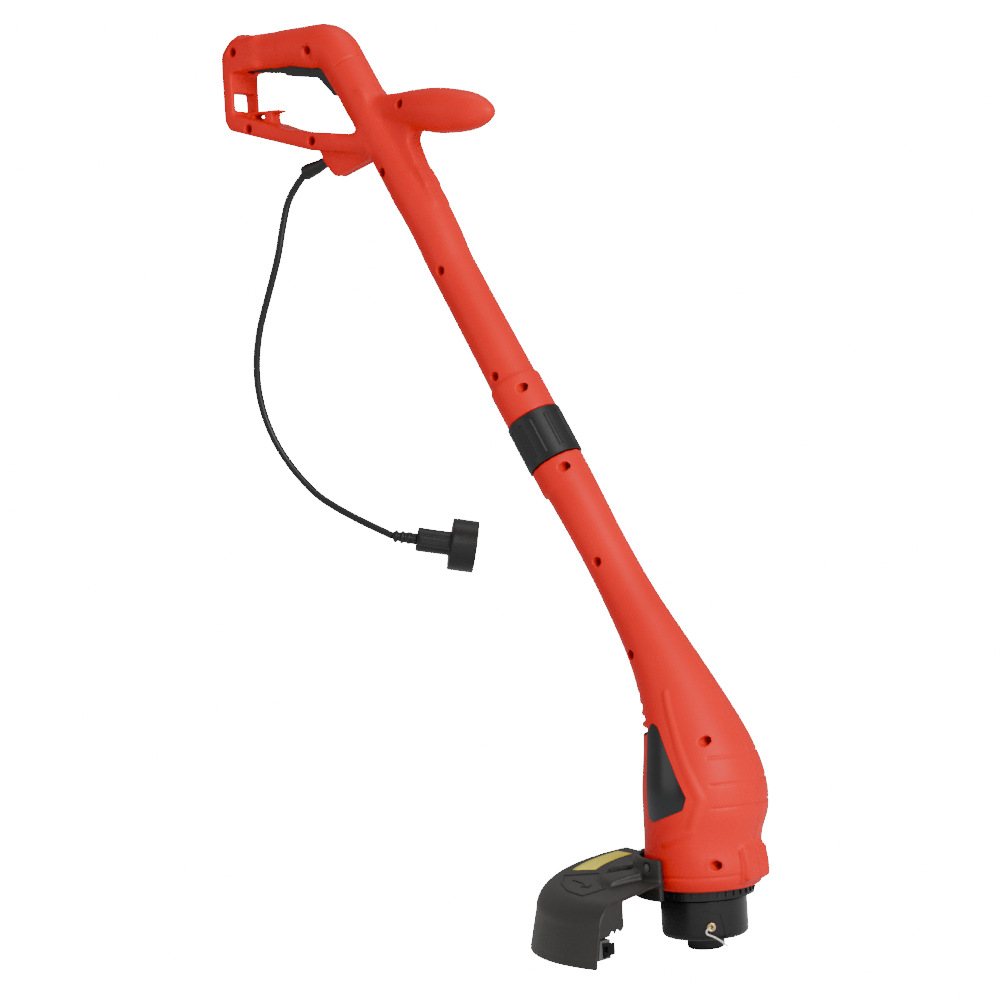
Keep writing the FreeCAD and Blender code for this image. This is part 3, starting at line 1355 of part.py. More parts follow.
# --- everything ---------------------------------------------------------------------------------
def build():
    upper_right, upper_left = upper_unit()
    lower_right, lower_left = lower_unit()
    return {
        "upper_shell_right": upper_right,
        "upper_shell_left": upper_left,
        "upper_shell_screws": Part.makeCompound([screw(x, z) for x, z in upper_screw_places()]),
        "trigger": trigger(),
        "trigger_pin": trigger_pin(),
        "trigger_spring": trigger_spring(),
        "switch_body": switch_body(),
        "switch_plunger": switch_plunger(),
        "cord_boot": cord_boot(),
        "cord_clamp": cord_clamp(),
        "cord_clamp_screws": cord_clamp_screws(),
        "terminal_block": terminal_block(),
        "upper_lead": upper_lead(),
        "lock_collar": lock_collar(),
        "swivel_tube": swivel_tube(),
        "detent_ring": detent_ring(),
        "lower_shell_right": guard_screw_holes(lower_right),
        "lower_shell_left": guard_screw_holes(lower_left),
        "lower_shell_screws": Part.makeCompound([screw(x, z) for x, z in lower_screw_places()]),
        "lower_lead": lower_lead(),
        "field_core": field_core(),
        "field_coils": field_coils(),
        "brush_frame": motor_screw_holes(brush_frame()),
        "carbon_brushes": carbon_brushes(),
        "brush_springs": brush_springs(),
        "armature_core": armature_core(),
        "armature_windings": armature_windings(),
        "commutator": commutator(),
        "rotor_shaft": rotor_shaft(),
        "upper_bearing": bearing(TOP_BEARING),
        "lower_bearing": bearing(LOW_BEARING),
        "cooling_fan": cooling_fan(),
        "motor_screws": motor_screws(),
        "bottom_ring": bottom_ring(),
        "spool_housing": spool_housing(),
        "spool_cover": spool_cover(),
        "drive_nut": drive_nut(),
        "spool": spool(),
        "wound_line": wound_line(),
        "spool_spring": spool_spring(),
        "bump_knob": bump_knob(),
        "line_eyelets": line_eyelets(),
        "line_tails": line_tails(),
        "guard": guard(),
        "guard_screws": guard_screws(),
        "cutter_holder": cutter_holder(),
        "cutter_blade": cutter_blade(),
        "cutter_screw": cutter_screw(),
        "guard_label": guard_label(),
        "rating_label": rating_label(),
        "power_cord": power_cord(),
        "plug_tail": plug_tail(),
        "plug_body": plug_body(),
        "plug_blades": plug_blades(),
    }


def main():
    os.makedirs("parts", exist_ok=True)
    for name, shape in build().items():
        box = shape.BoundBox
        print(name, "solids", len(shape.Solids), "valid", shape.isValid(), "volume", round(shape.Volume),
              "x", round(box.XMin), round(box.XMax), "z", round(box.ZMin), round(box.ZMax))
        shape.exportStep("parts/" + name + ".step")


main()
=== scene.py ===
# %% [markdown]
# # A corded string trimmer
# This lesson dresses an engineering model of a string trimmer. The moving parts, their places and
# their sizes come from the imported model, which the first cell loads. Each later cell makes one
# visible piece or one finish, and says what it is on the real tool and why it is made that way.

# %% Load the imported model
import json
import math

import bmesh
import bpy
from mathutils import Matrix, Vector
from mathutils.geometry import intersect_point_line


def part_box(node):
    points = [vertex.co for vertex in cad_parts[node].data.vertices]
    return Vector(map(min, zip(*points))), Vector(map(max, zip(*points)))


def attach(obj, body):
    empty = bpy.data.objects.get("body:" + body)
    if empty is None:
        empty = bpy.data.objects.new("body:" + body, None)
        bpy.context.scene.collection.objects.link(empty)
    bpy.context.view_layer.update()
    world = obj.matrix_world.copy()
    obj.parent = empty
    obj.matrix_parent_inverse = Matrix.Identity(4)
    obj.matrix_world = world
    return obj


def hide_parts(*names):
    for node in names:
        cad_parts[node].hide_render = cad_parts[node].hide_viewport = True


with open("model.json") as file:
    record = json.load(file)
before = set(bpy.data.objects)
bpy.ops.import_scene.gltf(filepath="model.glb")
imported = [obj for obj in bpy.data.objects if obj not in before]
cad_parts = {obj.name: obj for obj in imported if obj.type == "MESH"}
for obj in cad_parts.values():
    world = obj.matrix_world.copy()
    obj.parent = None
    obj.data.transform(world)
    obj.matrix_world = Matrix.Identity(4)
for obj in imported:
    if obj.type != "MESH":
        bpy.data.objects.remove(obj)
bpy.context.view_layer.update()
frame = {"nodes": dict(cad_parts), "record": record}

# %% [markdown]
# ## Where things are
# The upright motor axis is what the head, the housing and the guard are built round. It is read
# from the rotor shaft's own box, and the ground from the lowest point of the bump knob. Reading
# them from the model keeps every new piece true to it.

# %% The motor axis and the ground
rotor_low, rotor_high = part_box("rotor_shaft")
MOTOR_AXIS = Vector(((rotor_low.x + rotor_high.x) / 2, 0, 0))
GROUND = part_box("bump_knob")[0].z
UP = Vector((0, 0, 1))
print("motor axis at", MOTOR_AXIS.x, "ground at", GROUND)

# %% [markdown]
# ## Camera
# A long lens from the front right, with the tool standing slightly off upright in the picture.
# The camera is placed by its three directions, so no tracking constraint is needed.

# %% Camera
VIEW_TURN = math.radians(37.6)
VIEW_TILT = math.radians(1.8)
VIEW_ROLL = math.radians(3.5)
LENS = 100.8
SENSOR_WIDTH = 36.0
FAR_CLIP = 50.0
HEAD_OFFSET = Vector((0.1993, -0.4315, 2.703))


def camera_axes(turn, tilt, roll):
    """Right, up and back directions of a camera turned round Z, tilted and rolled."""
    back = Vector((math.sin(turn) * math.cos(tilt), -math.cos(turn) * math.cos(tilt), math.sin(tilt)))
    level_right = Vector((math.cos(turn), math.sin(turn), 0))
    level_up = back.cross(level_right)
    right = level_right * math.cos(roll) - level_up * math.sin(roll)
    up = level_right * math.sin(roll) + level_up * math.cos(roll)
    return right, up, back


right, up, back = camera_axes(VIEW_TURN, VIEW_TILT, VIEW_ROLL)
camera_data = bpy.data.cameras.new("studio_camera")
camera_data.lens = LENS
camera_data.sensor_width = SENSOR_WIDTH
camera_data.clip_end = FAR_CLIP
camera = bpy.data.objects.new("studio_camera", camera_data)
bpy.context.scene.collection.objects.link(camera)
head_foot = Vector((MOTOR_AXIS.x, 0, GROUND))
place = head_foot - right * HEAD_OFFSET.x - up * HEAD_OFFSET.y + back * HEAD_OFFSET.z
turned = Matrix((right, up, back)).transposed().to_4x4()
camera.matrix_world = Matrix.Translation(place) @ turned
bpy.context.scene.camera = camera
print("camera at", [round(v, 3) for v in place])

# %% [markdown]
# ## Helpers for pieces
# Every finished piece keeps its object at the origin, with its place in its mesh, as the model's
# own parts do. A bmesh is turned into an object once, shaded smooth, and given its material.

# %% Piece helpers


def finish_piece(name, work, body, material, smooth_angle=40.0):
    """Turn a bmesh into a piece that rides on a body."""
    bmesh.ops.recalc_face_normals(work, faces=work.faces)
    mesh = bpy.data.meshes.new(name)
    work.to_mesh(mesh)
    work.free()
    mesh.shade_smooth()
    mesh.set_sharp_from_angle(angle=math.radians(smooth_angle))
    piece = bpy.data.objects.new(name, mesh)
    bpy.context.scene.collection.objects.link(piece)
    mesh.materials.append(material)
    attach(piece, body)
    print(name, "faces", len(mesh.polygons))
    return piece


def dress(node, material):
    """Give a carried-over part its finish."""
    part = frame["nodes"][node]
    if not part.material_slots:
        part.data.materials.append(material)
    for slot in part.material_slots:
        slot.link = "OBJECT"
        slot.material = material


# %% [markdown]
# ## Finishes
# Moulded plastic is never one flat colour: it has a slow drift in tone, a fine grain left by the
# tool steel and a roughness that changes where hands rub it. Each finish below is a small node
# tree on object coordinates, so that it stays put when a part moves.

# %% A moulded plastic finish
BUMP_STRENGTH = 0.5
DRIFT_SCALE = 9.0
RUB_SCALE = 40.0
GRAIN_SCALE = 900.0
GRAIN_DEPTH = 0.00008


def new_material(name):
    material = bpy.data.materials.new(name)
    material.use_nodes = True
    nodes = material.node_tree.nodes
    shader = nodes["Principled BSDF"]
    return material, nodes, material.node_tree.links, shader


def coordinates(nodes):
    return nodes.new("ShaderNodeTexCoord").outputs["Object"]


def noise(nodes, links, where, scale, detail=3.0):
    texture = nodes.new("ShaderNodeTexNoise")
    texture.inputs["Scale"].default_value = scale
    texture.inputs["Detail"].default_value = detail
    links.new(where, texture.inputs["Vector"])
    return texture.outputs["Fac"]


def ramp(nodes, links, factor, stops):
    """A colour ramp from (position, colour) stops."""
    node = nodes.new("ShaderNodeValToRGB")
    elements = node.color_ramp.elements
    while len(elements) < len(stops):
        elements.new(0.5)
    for element, (position, colour) in zip(elements, stops):
        element.position = position
        element.color = (*colour, 1.0)
    links.new(factor, node.inputs["Fac"])
    return node.outputs["Color"]


def spread(nodes, links, factor, low, high):
    """Map a 0 to 1 factor onto a range of values."""
    node = nodes.new("ShaderNodeMapRange")
    node.inputs["To Min"].default_value = low
    node.inputs["To Max"].default_value = high
    links.new(factor, node.inputs["Value"])
    return node.outputs["Result"]


def bump(nodes, links, shader, height, distance):
    node = nodes.new("ShaderNodeBump")
    node.inputs["Strength"].default_value = BUMP_STRENGTH
    node.inputs["Distance"].default_value = distance
    links.new(height, node.inputs["Height"])
    links.new(node.outputs["Normal"], shader.inputs["Normal"])


def moulded(name, dark, light, rough, sheen=0.35):
    """Moulded plastic: a drift of tone, a fine grain and uneven gloss."""
    material, nodes, links, shader = new_material(name)
    where = coordinates(nodes)
    drift = noise(nodes, links, where, DRIFT_SCALE)
    links.new(ramp(nodes, links, drift, [(0.3, dark), (0.7, light)]), shader.inputs["Base Color"])
    rub = noise(nodes, links, where, RUB_SCALE, 5.0)
    links.new(spread(nodes, links, rub, rough[0], rough[1]), shader.inputs["Roughness"])
    grain = noise(nodes, links, where, GRAIN_SCALE, 2.0)
    bump(nodes, links, shader, grain, GRAIN_DEPTH)
    shader.inputs["Specular IOR Level"].default_value = sheen
    return material


red_plastic = moulded("red_plastic", (0.62, 0.0012, 0.0006), (0.72, 0.0020, 0.0012),
                      (0.42, 0.52), sheen=0.16)
black_plastic = moulded("black_plastic", (0.0035, 0.0035, 0.0038), (0.0060, 0.0060, 0.0064),
                        (0.24, 0.34))
label_film = moulded("label_film", (0.006, 0.006, 0.007), (0.009, 0.009, 0.010), (0.20, 0.28))
yellow_film = moulded("yellow_film", (0.92, 0.80, 0.030), (0.95, 0.85, 0.050),
                      (0.45, 0.6), sheen=0.3)
collar_plastic = moulded("collar_plastic", (0.004, 0.004, 0.0044), (0.007, 0.007, 0.0075),
                         (0.40, 0.50))
trigger_plastic = moulded("trigger_plastic", (0.004, 0.004, 0.004), (0.007, 0.007, 0.007),
                          (0.45, 0.55))
guard_plastic = moulded("guard_plastic", (0.013, 0.0125, 0.011), (0.018, 0.017, 0.015),
                        (0.48, 0.58))
soft_vinyl = moulded("soft_vinyl", (0.004, 0.004, 0.004), (0.007, 0.007, 0.007), (0.36, 0.48))
inner_plastic = moulded("inner_plastic", (0.05, 0.05, 0.05), (0.08, 0.08, 0.08), (0.5, 0.6))
carbon = moulded("carbon", (0.02, 0.02, 0.02), (0.04, 0.04, 0.04), (0.7, 0.8))
nylon = moulded("nylon", (0.62, 0.60, 0.52), (0.74, 0.72, 0.64), (0.3, 0.4))
print("moulded finishes", len(bpy.data.materials))

# %% [markdown]
# ### Metals
# Steel and brass differ mostly in colour. Both get fine scratches from a stretched noise, which
# breaks up the highlights without drawing any pattern.

# %% Metal finishes
TARNISH_SCALE = 60.0
SCRATCH_STRETCH = (1.0, 1.0, 12.0)
SCRATCH_SCALE = 300.0
SCRATCH_DEPTH = 0.00003


def metal(name, dark, light, rough):
    """Bare metal: a drift of tone and fine scratches along one direction."""
    material, nodes, links, shader = new_material(name)
    where = coordinates(nodes)
    drift = noise(nodes, links, where, TARNISH_SCALE)
    links.new(ramp(nodes, links, drift, [(0.35, dark), (0.65, light)]), shader.inputs["Base Color"])
    stretch = nodes.new("ShaderNodeMapping")
    stretch.inputs["Scale"].default_value = SCRATCH_STRETCH
    links.new(where, stretch.inputs["Vector"])
    scratch = noise(nodes, links, stretch.outputs["Vector"], SCRATCH_SCALE, 4.0)
    links.new(spread(nodes, links, scratch, rough[0], rough[1]), shader.inputs["Roughness"])
    bump(nodes, links, shader, scratch, SCRATCH_DEPTH)
    shader.inputs["Metallic"].default_value = 1.0
    return material


dark_zinc = metal("dark_zinc", (0.10, 0.095, 0.09), (0.18, 0.17, 0.16), (0.35, 0.5))
black_steel = metal("black_steel", (0.010, 0.010, 0.011), (0.022, 0.022, 0.024), (0.38, 0.5))
bright_steel = metal("bright_steel", (0.45, 0.45, 0.46), (0.58, 0.58, 0.60), (0.22, 0.34))
brass = metal("brass", (0.62, 0.44, 0.16), (0.78, 0.58, 0.26), (0.2, 0.34))
copper = metal("copper", (0.50, 0.22, 0.10), (0.62, 0.30, 0.14), (0.25, 0.4))

FINISHES = {
    "red_shell": red_plastic,
    "black_gloss": black_plastic,
    "trigger_black": trigger_plastic,
    "guard_grey": guard_plastic,
    "black_rubber": soft_vinyl,
    "zinc_screw": dark_zinc,
    "spring_steel": bright_steel,
    "contact_brass": brass,
    "inner_plastic": inner_plastic,
    "lead_grey": soft_vinyl,
    "tube_steel": bright_steel,
    "core_steel": bright_steel,
    "copper": copper,
    "carbon": carbon,
    "nylon_line": nylon,
    "label_black": label_film,
    "label_yellow": yellow_film,
}
slot_of = {part["node"]: part["material_slot"] for part in frame["record"]["subparts"]}
body_of = {node: body for body, nodes in frame["record"]["behaviour"]["bodies"].items() for node in nodes}
for node, slot in slot_of.items():
    dress(node, FINISHES[slot])
dress("lock_collar", collar_plastic)
dress("cutter_blade", black_steel)
dress("cutter_screw", black_steel)
print("dressed", len(slot_of), "parts")

# %% [markdown]
# ## Moulded shells
# The engineering solids meet in sharp creases. On the real tool the grip flows into the column,
# and the column into the front handle, through wide moulded blends. Each shell is copied, its loose
# triangles are merged, and the copy is rebuilt from small cubes. Points are then averaged with
# their neighbours: a few times everywhere, which softens each edge the way a mould does, and many
# times where two forms meet. Points on the parting plane stay in that plane, so that the two
# halves still close, and points beside a screw keep the recess crisp.

# %% Rebuild a part as one moulded surface
MERGE_REACH = 0.00001
PLANE_REACH = 0.0008
SHELL_CUBE = 0.0014
RECESS_REACH = 0.0066
SOFTENING = 4
TRIGGER_LOW, TRIGGER_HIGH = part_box("trigger")
SLOT_SIDE = 0.003
SLOT_REAR = 0.004
SLOT_FRONT = 0.006
SLOT_BELOW = 0.004
SLOT_ABOVE = 0.012


def merged_copy(node):
    """A bmesh of a carried-over part with its loose triangles joined."""
    work = bmesh.new()
    work.from_mesh(frame["nodes"][node].data)
    bmesh.ops.remove_doubles(work, verts=work.verts, dist=MERGE_REACH)
    return work


def rebuilt(work, cube):
    """The same shape rebuilt as an even net of squares."""
    mesh = bpy.data.meshes.new("rebuild")
    work.to_mesh(mesh)
    work.free()
    holder = bpy.data.objects.new("rebuild", mesh)
    bpy.context.scene.collection.objects.link(holder)
    cubes = holder.modifiers.new("cubes", "REMESH")
    cubes.mode = "VOXEL"
    cubes.voxel_size = cube
    ready = holder.evaluated_get(bpy.context.evaluated_depsgraph_get())
    fine = bmesh.new()
    fine.from_mesh(ready.to_mesh())
    bpy.data.objects.remove(holder)
    bpy.data.meshes.remove(mesh)
    return fine


def piece_centres(node):
    """The middle of each separate solid in a part."""
    work = merged_copy(node)
    left = set(work.verts)
    centres = []
    while left:
        island = [left.pop()]
        for vert in island:
            for edge in vert.link_edges:
                other = edge.other_vert(vert)
                if other in left:
                    left.remove(other)
                    island.append(other)
        low = Vector([min(v.co[axis] for v in island) for axis in range(3)])
        high = Vector([max(v.co[axis] for v in island) for axis in range(3)])
        centres.append((low + high) / 2)
    work.free()
    return centres


def relax(work, verts, rounds, flat=True):
    """Average points with their neighbours, keeping the parting plane flat."""
    on_plane = [v for v in verts if flat and abs(v.co.y) < PLANE_REACH]
    free = [v for v in verts if not flat or abs(v.co.y) >= PLANE_REACH]
    for _ in range(rounds):
        bmesh.ops.smooth_vert(work, verts=free, factor=0.5, use_axis_x=True, use_axis_y=True,
                              use_axis_z=True)
        if on_plane:
            bmesh.ops.smooth_vert(work, verts=on_plane, factor=0.5, use_axis_x=True,
                                  use_axis_y=False, use_axis_z=True)


def near_screw(point, screws):
    return any(math.hypot(point.x - s.x, point.z - s.z) < RECESS_REACH for s in screws)


def by_trigger(point):
    """Whether a point lies by the slot that the trigger moves in."""
    beside = abs(point.y) < TRIGGER_HIGH.y + SLOT_SIDE
    along = TRIGGER_LOW.x - SLOT_REAR < point.x < TRIGGER_HIGH.x + SLOT_FRONT
    level = TRIGGER_LOW.z - SLOT_BELOW < point.z < TRIGGER_HIGH.z + SLOT_ABOVE
    return beside and along and level


def moulded_shell(node, screw_node, blends, relief):
    """A shell with soft edges, wide blends at the given (place, reach, rounds), and relief."""
    screws = piece_centres(screw_node)
    work = rebuilt(merged_copy(node), SHELL_CUBE)
    soft = [v for v in work.verts if not near_screw(v.co, screws) and not by_trigger(v.co)]
    for place, reach, rounds in blends:
        middle = Vector(place)
        close = [v for v in soft if math.hypot(v.co.x - middle.x, v.co.z - middle.z) < reach]
        relax(work, close, rounds)
    relax(work, soft, SOFTENING)
    work.normal_update()
    relief(soft)
    shell = finish_piece(node + "_moulding", work, body_of[node], red_plastic,
                         smooth_angle=60.0)
    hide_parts(node)


print("trigger slot kept from", TRIGGER_LOW.x, "to", TRIGGER_HIGH.x)

# %% [markdown]
# ### Relief on the shells
# A mould leaves shallow lines and pads. A swell carries a region a few millimetres one way and
# fades out at its edge. A groove presses the outside in along a line, and a pad lifts it.
# On the motor housing, places are an angle about the motor axis and a height. On the column they
# are a distance along its leaning axis.

# %% Relief tools
COLUMN = Vector((0.4939, 0, -0.8695))
COLUMN_FRONT = Vector((0.8695, 0, 0.4939))
COLUMN_AXIS = 0.0501
CROWN_START = 0.003
HOUSING_ROUND = 0.055
PAD_RAMP = 0.002


def faded(share):
    """One at the middle of a reach, smoothly down to nothing at its edge."""
    return (1.0 - share * share) ** 2 if share < 1.0 else 0.0


def swollen(verts, swells):
    for place, reach, offset in swells:
        middle, carry = Vector(place), Vector(offset)
        for vert in verts:
            away = math.hypot(vert.co.x - middle.x, vert.co.z - middle.z)
            if away < reach:
                vert.co += carry * faded(away / reach)


def pressed(vert, depth):
    """Move a vertex in along its normal, and keep the parting plane flat."""
    inward = vert.normal * depth
    if abs(vert.co.y) < PLANE_REACH:
        inward.y = 0.0
    vert.co -= inward


def housing_place(point):
    """Arc length round the motor axis, and height, of a point on the housing."""
    turn = math.atan2(point.y, point.x - MOTOR_AXIS.x)
    return Vector((turn * HOUSING_ROUND, point.z, 0))


def outside_housing(vert):
    return vert.normal.x * (vert.co.x - MOTOR_AXIS.x) + vert.normal.y * vert.co.y > 0


def scored(verts, path, width, depth):
    """A groove, or a ridge when depth is below zero, along places of (degrees, height)."""
    spots = [Vector((math.radians(turn) * HOUSING_ROUND, height, 0)) for turn, height in path]
    low = min(spot.y for spot in spots) - width
    high = max(spot.y for spot in spots) + width
    for vert in verts:
        if not low < vert.co.z < high or not outside_housing(vert):
            continue
        place = housing_place(vert.co)
        nearest = width
        for start, end in zip(spots, spots[1:]):
            share = intersect_point_line(place, start, end)[1]
            foot = start.lerp(end, min(max(share, 0.0), 1.0))
            nearest = min(nearest, (place - foot).length)
        if nearest < width:
            pressed(vert, depth * faded(nearest / width))


def padded(verts, turn, low, high, rise):
    """A raised pad across the front, with edges that ramp over two millimetres."""
    half = math.radians(turn) * HOUSING_ROUND
    for vert in verts:
        place = housing_place(vert.co)
        inside = min(half - abs(place.x), place.y - low, high - place.y)
        if inside > 0 and outside_housing(vert):
            pressed(vert, -rise * min(inside / PAD_RAMP, 1.0))


def column_groove(verts, along, width, depth):
    """A groove across the front of the column, square to its axis."""
    for vert in verts:
        away = abs(vert.co.dot(COLUMN) - along)
        forward = vert.co.dot(COLUMN_FRONT) - COLUMN_AXIS
        out = COLUMN_FRONT * forward + Vector((0, vert.co.y, 0))
        if away < width and forward > CROWN_START and vert.normal.dot(out) > 0:
            pressed(vert, depth * faded(away / width))


print("column leans", round(math.degrees(math.atan2(COLUMN.x, -COLUMN.z)), 1), "degrees")

# %% [markdown]
# ### The four red shells
# The wide blends sit where the grip meets the rear upright, where the column meets the bar and
# the front handle, at the root of the cord's boss and where the web under the front handle ends.
# The relief is a groove across the column, a crease round the rating plate, a pad and three short
# grooves at the front of the housing, and a line above its rim.

# %% The red shells
UPPER_BLENDS = [
    ((-0.034, 0, 0.0), 0.030, 40),
    ((0.130, 0, -0.062), 0.026, 36),
    ((0.150, 0, -0.115), 0.034, 36),
    ((0.092, 0, -0.098), 0.026, 30),
    ((0.075, 0, -0.128), 0.034, 24),
    ((-0.080, 0, 0.010), 0.020, 12),
    ((0.186, 0, -0.184), 0.026, 40),
]
LOWER_BLENDS = [
    ((MOTOR_AXIS.x, 0, GROUND + 0.070), 0.070, 3),
]
UPPER_SWELLS = [
    ((0.042, 0, -0.024), 0.046, (0.001, 0, -0.0060)),
    ((-0.080, 0, 0.026), 0.030, (0, 0, 0.0034)),
    ((0.186, 0, -0.190), 0.056, (0.0040, 0, 0.0022)),
]
LOWER_SWELLS = [((0.5060, 0, -0.8143), 0.030, (-0.0055, 0, 0))]
LABEL_RIDGE = [(-98, -0.672), (-80, -0.706), (-54, -0.770), (-64, -0.800), (-92, -0.812)]
RIDGE_WIDTH = 0.006
RIDGE_RISE = 0.0014
FRONT_TURN = 45
FRONT_GROOVES = [-0.732, -0.757, -0.779]
FRONT_DEPTH = 0.0011
GROOVE_WIDTH = 0.0018
GROOVE_DEPTH = 0.0012
LIP_LINE = -0.8455
LIP_ENDS = [(-150, -22), (22, 150)]
PAD_TURN = 21
PAD_LOW = -0.8545
PAD_HIGH = -0.8205
PAD_RISE = 0.0022
COLUMN_LINE = 0.0612
COLUMN_LINE_WIDTH = 0.0016


def upper_relief(verts):
    swollen(verts, UPPER_SWELLS)
    column_groove(verts, COLUMN_LINE, COLUMN_LINE_WIDTH, GROOVE_DEPTH)


def lower_relief(verts):
    swollen(verts, LOWER_SWELLS)
    scored(verts, LABEL_RIDGE, RIDGE_WIDTH, -RIDGE_RISE)
    padded(verts, PAD_TURN, PAD_LOW, PAD_HIGH, PAD_RISE)
    for height in FRONT_GROOVES:
        scored(verts, [(-FRONT_TURN, height), (FRONT_TURN, height)], GROOVE_WIDTH, FRONT_DEPTH)
    for start, end in LIP_ENDS:
        scored(verts, [(start, LIP_LINE), (end, LIP_LINE)], GROOVE_WIDTH, GROOVE_DEPTH)


for side in ("right", "left"):
    moulded_shell("upper_shell_" + side, "upper_shell_screws", UPPER_BLENDS, upper_relief)
    moulded_shell("lower_shell_" + side, "lower_shell_screws", LOWER_BLENDS, lower_relief)

# %% [markdown]
# ### Small mouldings
# The same rebuild, with smaller cubes, rounds the edges of the plug, its relief, the cord's boot
# and the trigger.

# %% Small mouldings


def small_moulding(node, cube, rounds, material, detail=None):
    """A part rebuilt from cubes of its own size, softened all over."""
    work = rebuilt(merged_copy(node), cube)
    relax(work, list(work.verts), rounds, flat=False)
    if detail:
        detail(work)
    piece = finish_piece(node + "_moulding", work, body_of[node], material, 60.0)
    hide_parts(node)
    return piece


plug_tail_piece = small_moulding("plug_tail", 0.0006, 3, soft_vinyl)
plug_body_piece = small_moulding("plug_body", 0.0009, 5, soft_vinyl)
BOOT_MOUTH = Vector((0.054, 0, -0.110))
BOOT_END = Vector((0.005, 0, -0.139))
BOOT_SWELL = 0.0016
SWELL_PLACE = 0.70
SWELL_REACH = 0.24


def fuller_boot(work):
    """The relief swells below the handle and tapers to its end ring."""
    length = (BOOT_END - BOOT_MOUTH).length
    axis = (BOOT_END - BOOT_MOUTH) / length
    for vert in work.verts:
        reach = vert.co - BOOT_MOUTH
        share = reach.dot(axis) / length
        out = reach - axis * reach.dot(axis)
        vert.co += out.normalized() * BOOT_SWELL * faded(abs(share - SWELL_PLACE) / SWELL_REACH)


boot_piece = small_moulding("cord_boot", 0.0007, 3, soft_vinyl, fuller_boot)
small_moulding("trigger", 0.0009, 3, trigger_plastic)

# %% [markdown]
# ### Guard
# The guard's plate is not square to the motor axis: it rises a little towards the left, so each
# point is lifted by its place across and by how near it is to the plate.

# %% The guard
PLATE_RISE = 0.080
PLATE_PIVOT = -0.060
PLATE_HEIGHT = 0.073
SLANT_FOOT = 0.020
SLANT_START = 0.066
SLANT_RAMP = 0.030
GUARD_CUBE = 0.0013


def lifted(point):
    """A guard point moved up or down by the plate's slant."""
    share = min(max((point.z - GROUND - SLANT_FOOT) / (PLATE_HEIGHT - SLANT_FOOT), 0.0), 1.0)
    radius = math.hypot(point.x - MOTOR_AXIS.x, point.y)
    outward = min(max((radius - SLANT_START) / SLANT_RAMP, 0.0), 1.0)
    return (point.y - PLATE_PIVOT) * PLATE_RISE * share * outward


def slant(work):
    for vert in work.verts:
        vert.co.z += lifted(vert.co)


small_moulding("guard", GUARD_CUBE, 4, guard_plastic, slant)
work = merged_copy("guard_label")
bmesh.ops.subdivide_edges(work, edges=work.edges, cuts=3, use_grid_fill=True)
slant(work)
label_piece = finish_piece("guard_label_film", work, "lower_unit", yellow_film)
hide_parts("guard_label")

# %% [markdown]
# ### Sunk panel and arrow on the guard
# Beside the label the plate has a shallow framed panel with a bent arrow that shows which way the
# line turns. The frame and the arrow are thin raised mouldings laid on the slanted plate.

# %% Panel and arrow
PLATE_TOP = GROUND + 0.073
SINK = 0.0004


def on_plate(turn, radius):
    """A point on the guard's plate from its angle in degrees and distance from the motor axis."""
    angle = math.radians(turn)
    flat = Vector((MOTOR_AXIS.x + radius * math.cos(angle), radius * math.sin(angle), PLATE_TOP))
    return flat + UP * lifted(flat)


def raised_strip(work, places, width, height):
    """A thin raised line through places given as (turn, radius)."""
    spots = [on_plate(turn, radius) for turn, radius in places]
    for start, end in zip(spots, spots[1:]):
        along = (end - start).normalized()
        across = along.cross(UP).normalized() * (width / 2)
        sink = UP * SINK
        low = [start - across - sink, end - across - sink, end + across - sink, start + across - sink]
        face = work.faces.new([work.verts.new(corner) for corner in low])
        made = bmesh.ops.extrude_face_region(work, geom=[face])
        top = [item for item in made["geom"] if isinstance(item, bmesh.types.BMVert)]
        bmesh.ops.translate(work, vec=UP * (height + SINK), verts=top)


PANEL = [(206, 0.100), (206, 0.136), (220, 0.136), (234, 0.136), (246, 0.134), (243, 0.106),
         (224, 0.100), (206, 0.100)]
work = bmesh.new()
raised_strip(work, PANEL, 0.0016, 0.0008)
finish_piece("guard_panel_frame", work, "lower_unit", guard_plastic, 20.0)

ARROW = [(216, 0.124), (224, 0.116), (233, 0.116)]
ARROW_HEAD = [(230.5, 0.121), (233.5, 0.1155), (229.5, 0.111)]
work = bmesh.new()
raised_strip(work, ARROW, 0.0026, 0.0006)
raised_strip(work, ARROW_HEAD, 0.0022, 0.0006)
finish_piece("turning_arrow", work, "lower_unit", trigger_plastic, 20.0)

# %% [markdown]
# ### Eyelet and cutting line
# The line leaves the head through a brass eyelet that has a rolled rim. A short loop of slack lies
# against the eyelet before the tail runs down and back, as line does after it is trimmed.

# %% Eyelet and line
HEAD_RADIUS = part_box("spool_housing")[1].y
EYELET_HEIGHT = 0.027
EYELET_TURN = -48.5
EYELET_PROUD = 0.0012
EYELET_RADIUS = 0.0033
RIM_RADIUS = 0.0012
RIM_STEPS = 40
LINE_RADIUS = 0.0009


def on_head(turn, outward, aside, height):
    """A point by an eyelet: out from the head's side, to its side and above the ground."""
    angle = math.radians(turn)
    out = Vector((math.cos(angle), math.sin(angle), 0))
    side = Vector((-math.sin(angle), math.cos(angle), 0))
    return Vector((MOTOR_AXIS.x, 0, GROUND + height)) + out * (HEAD_RADIUS + outward) + side * aside


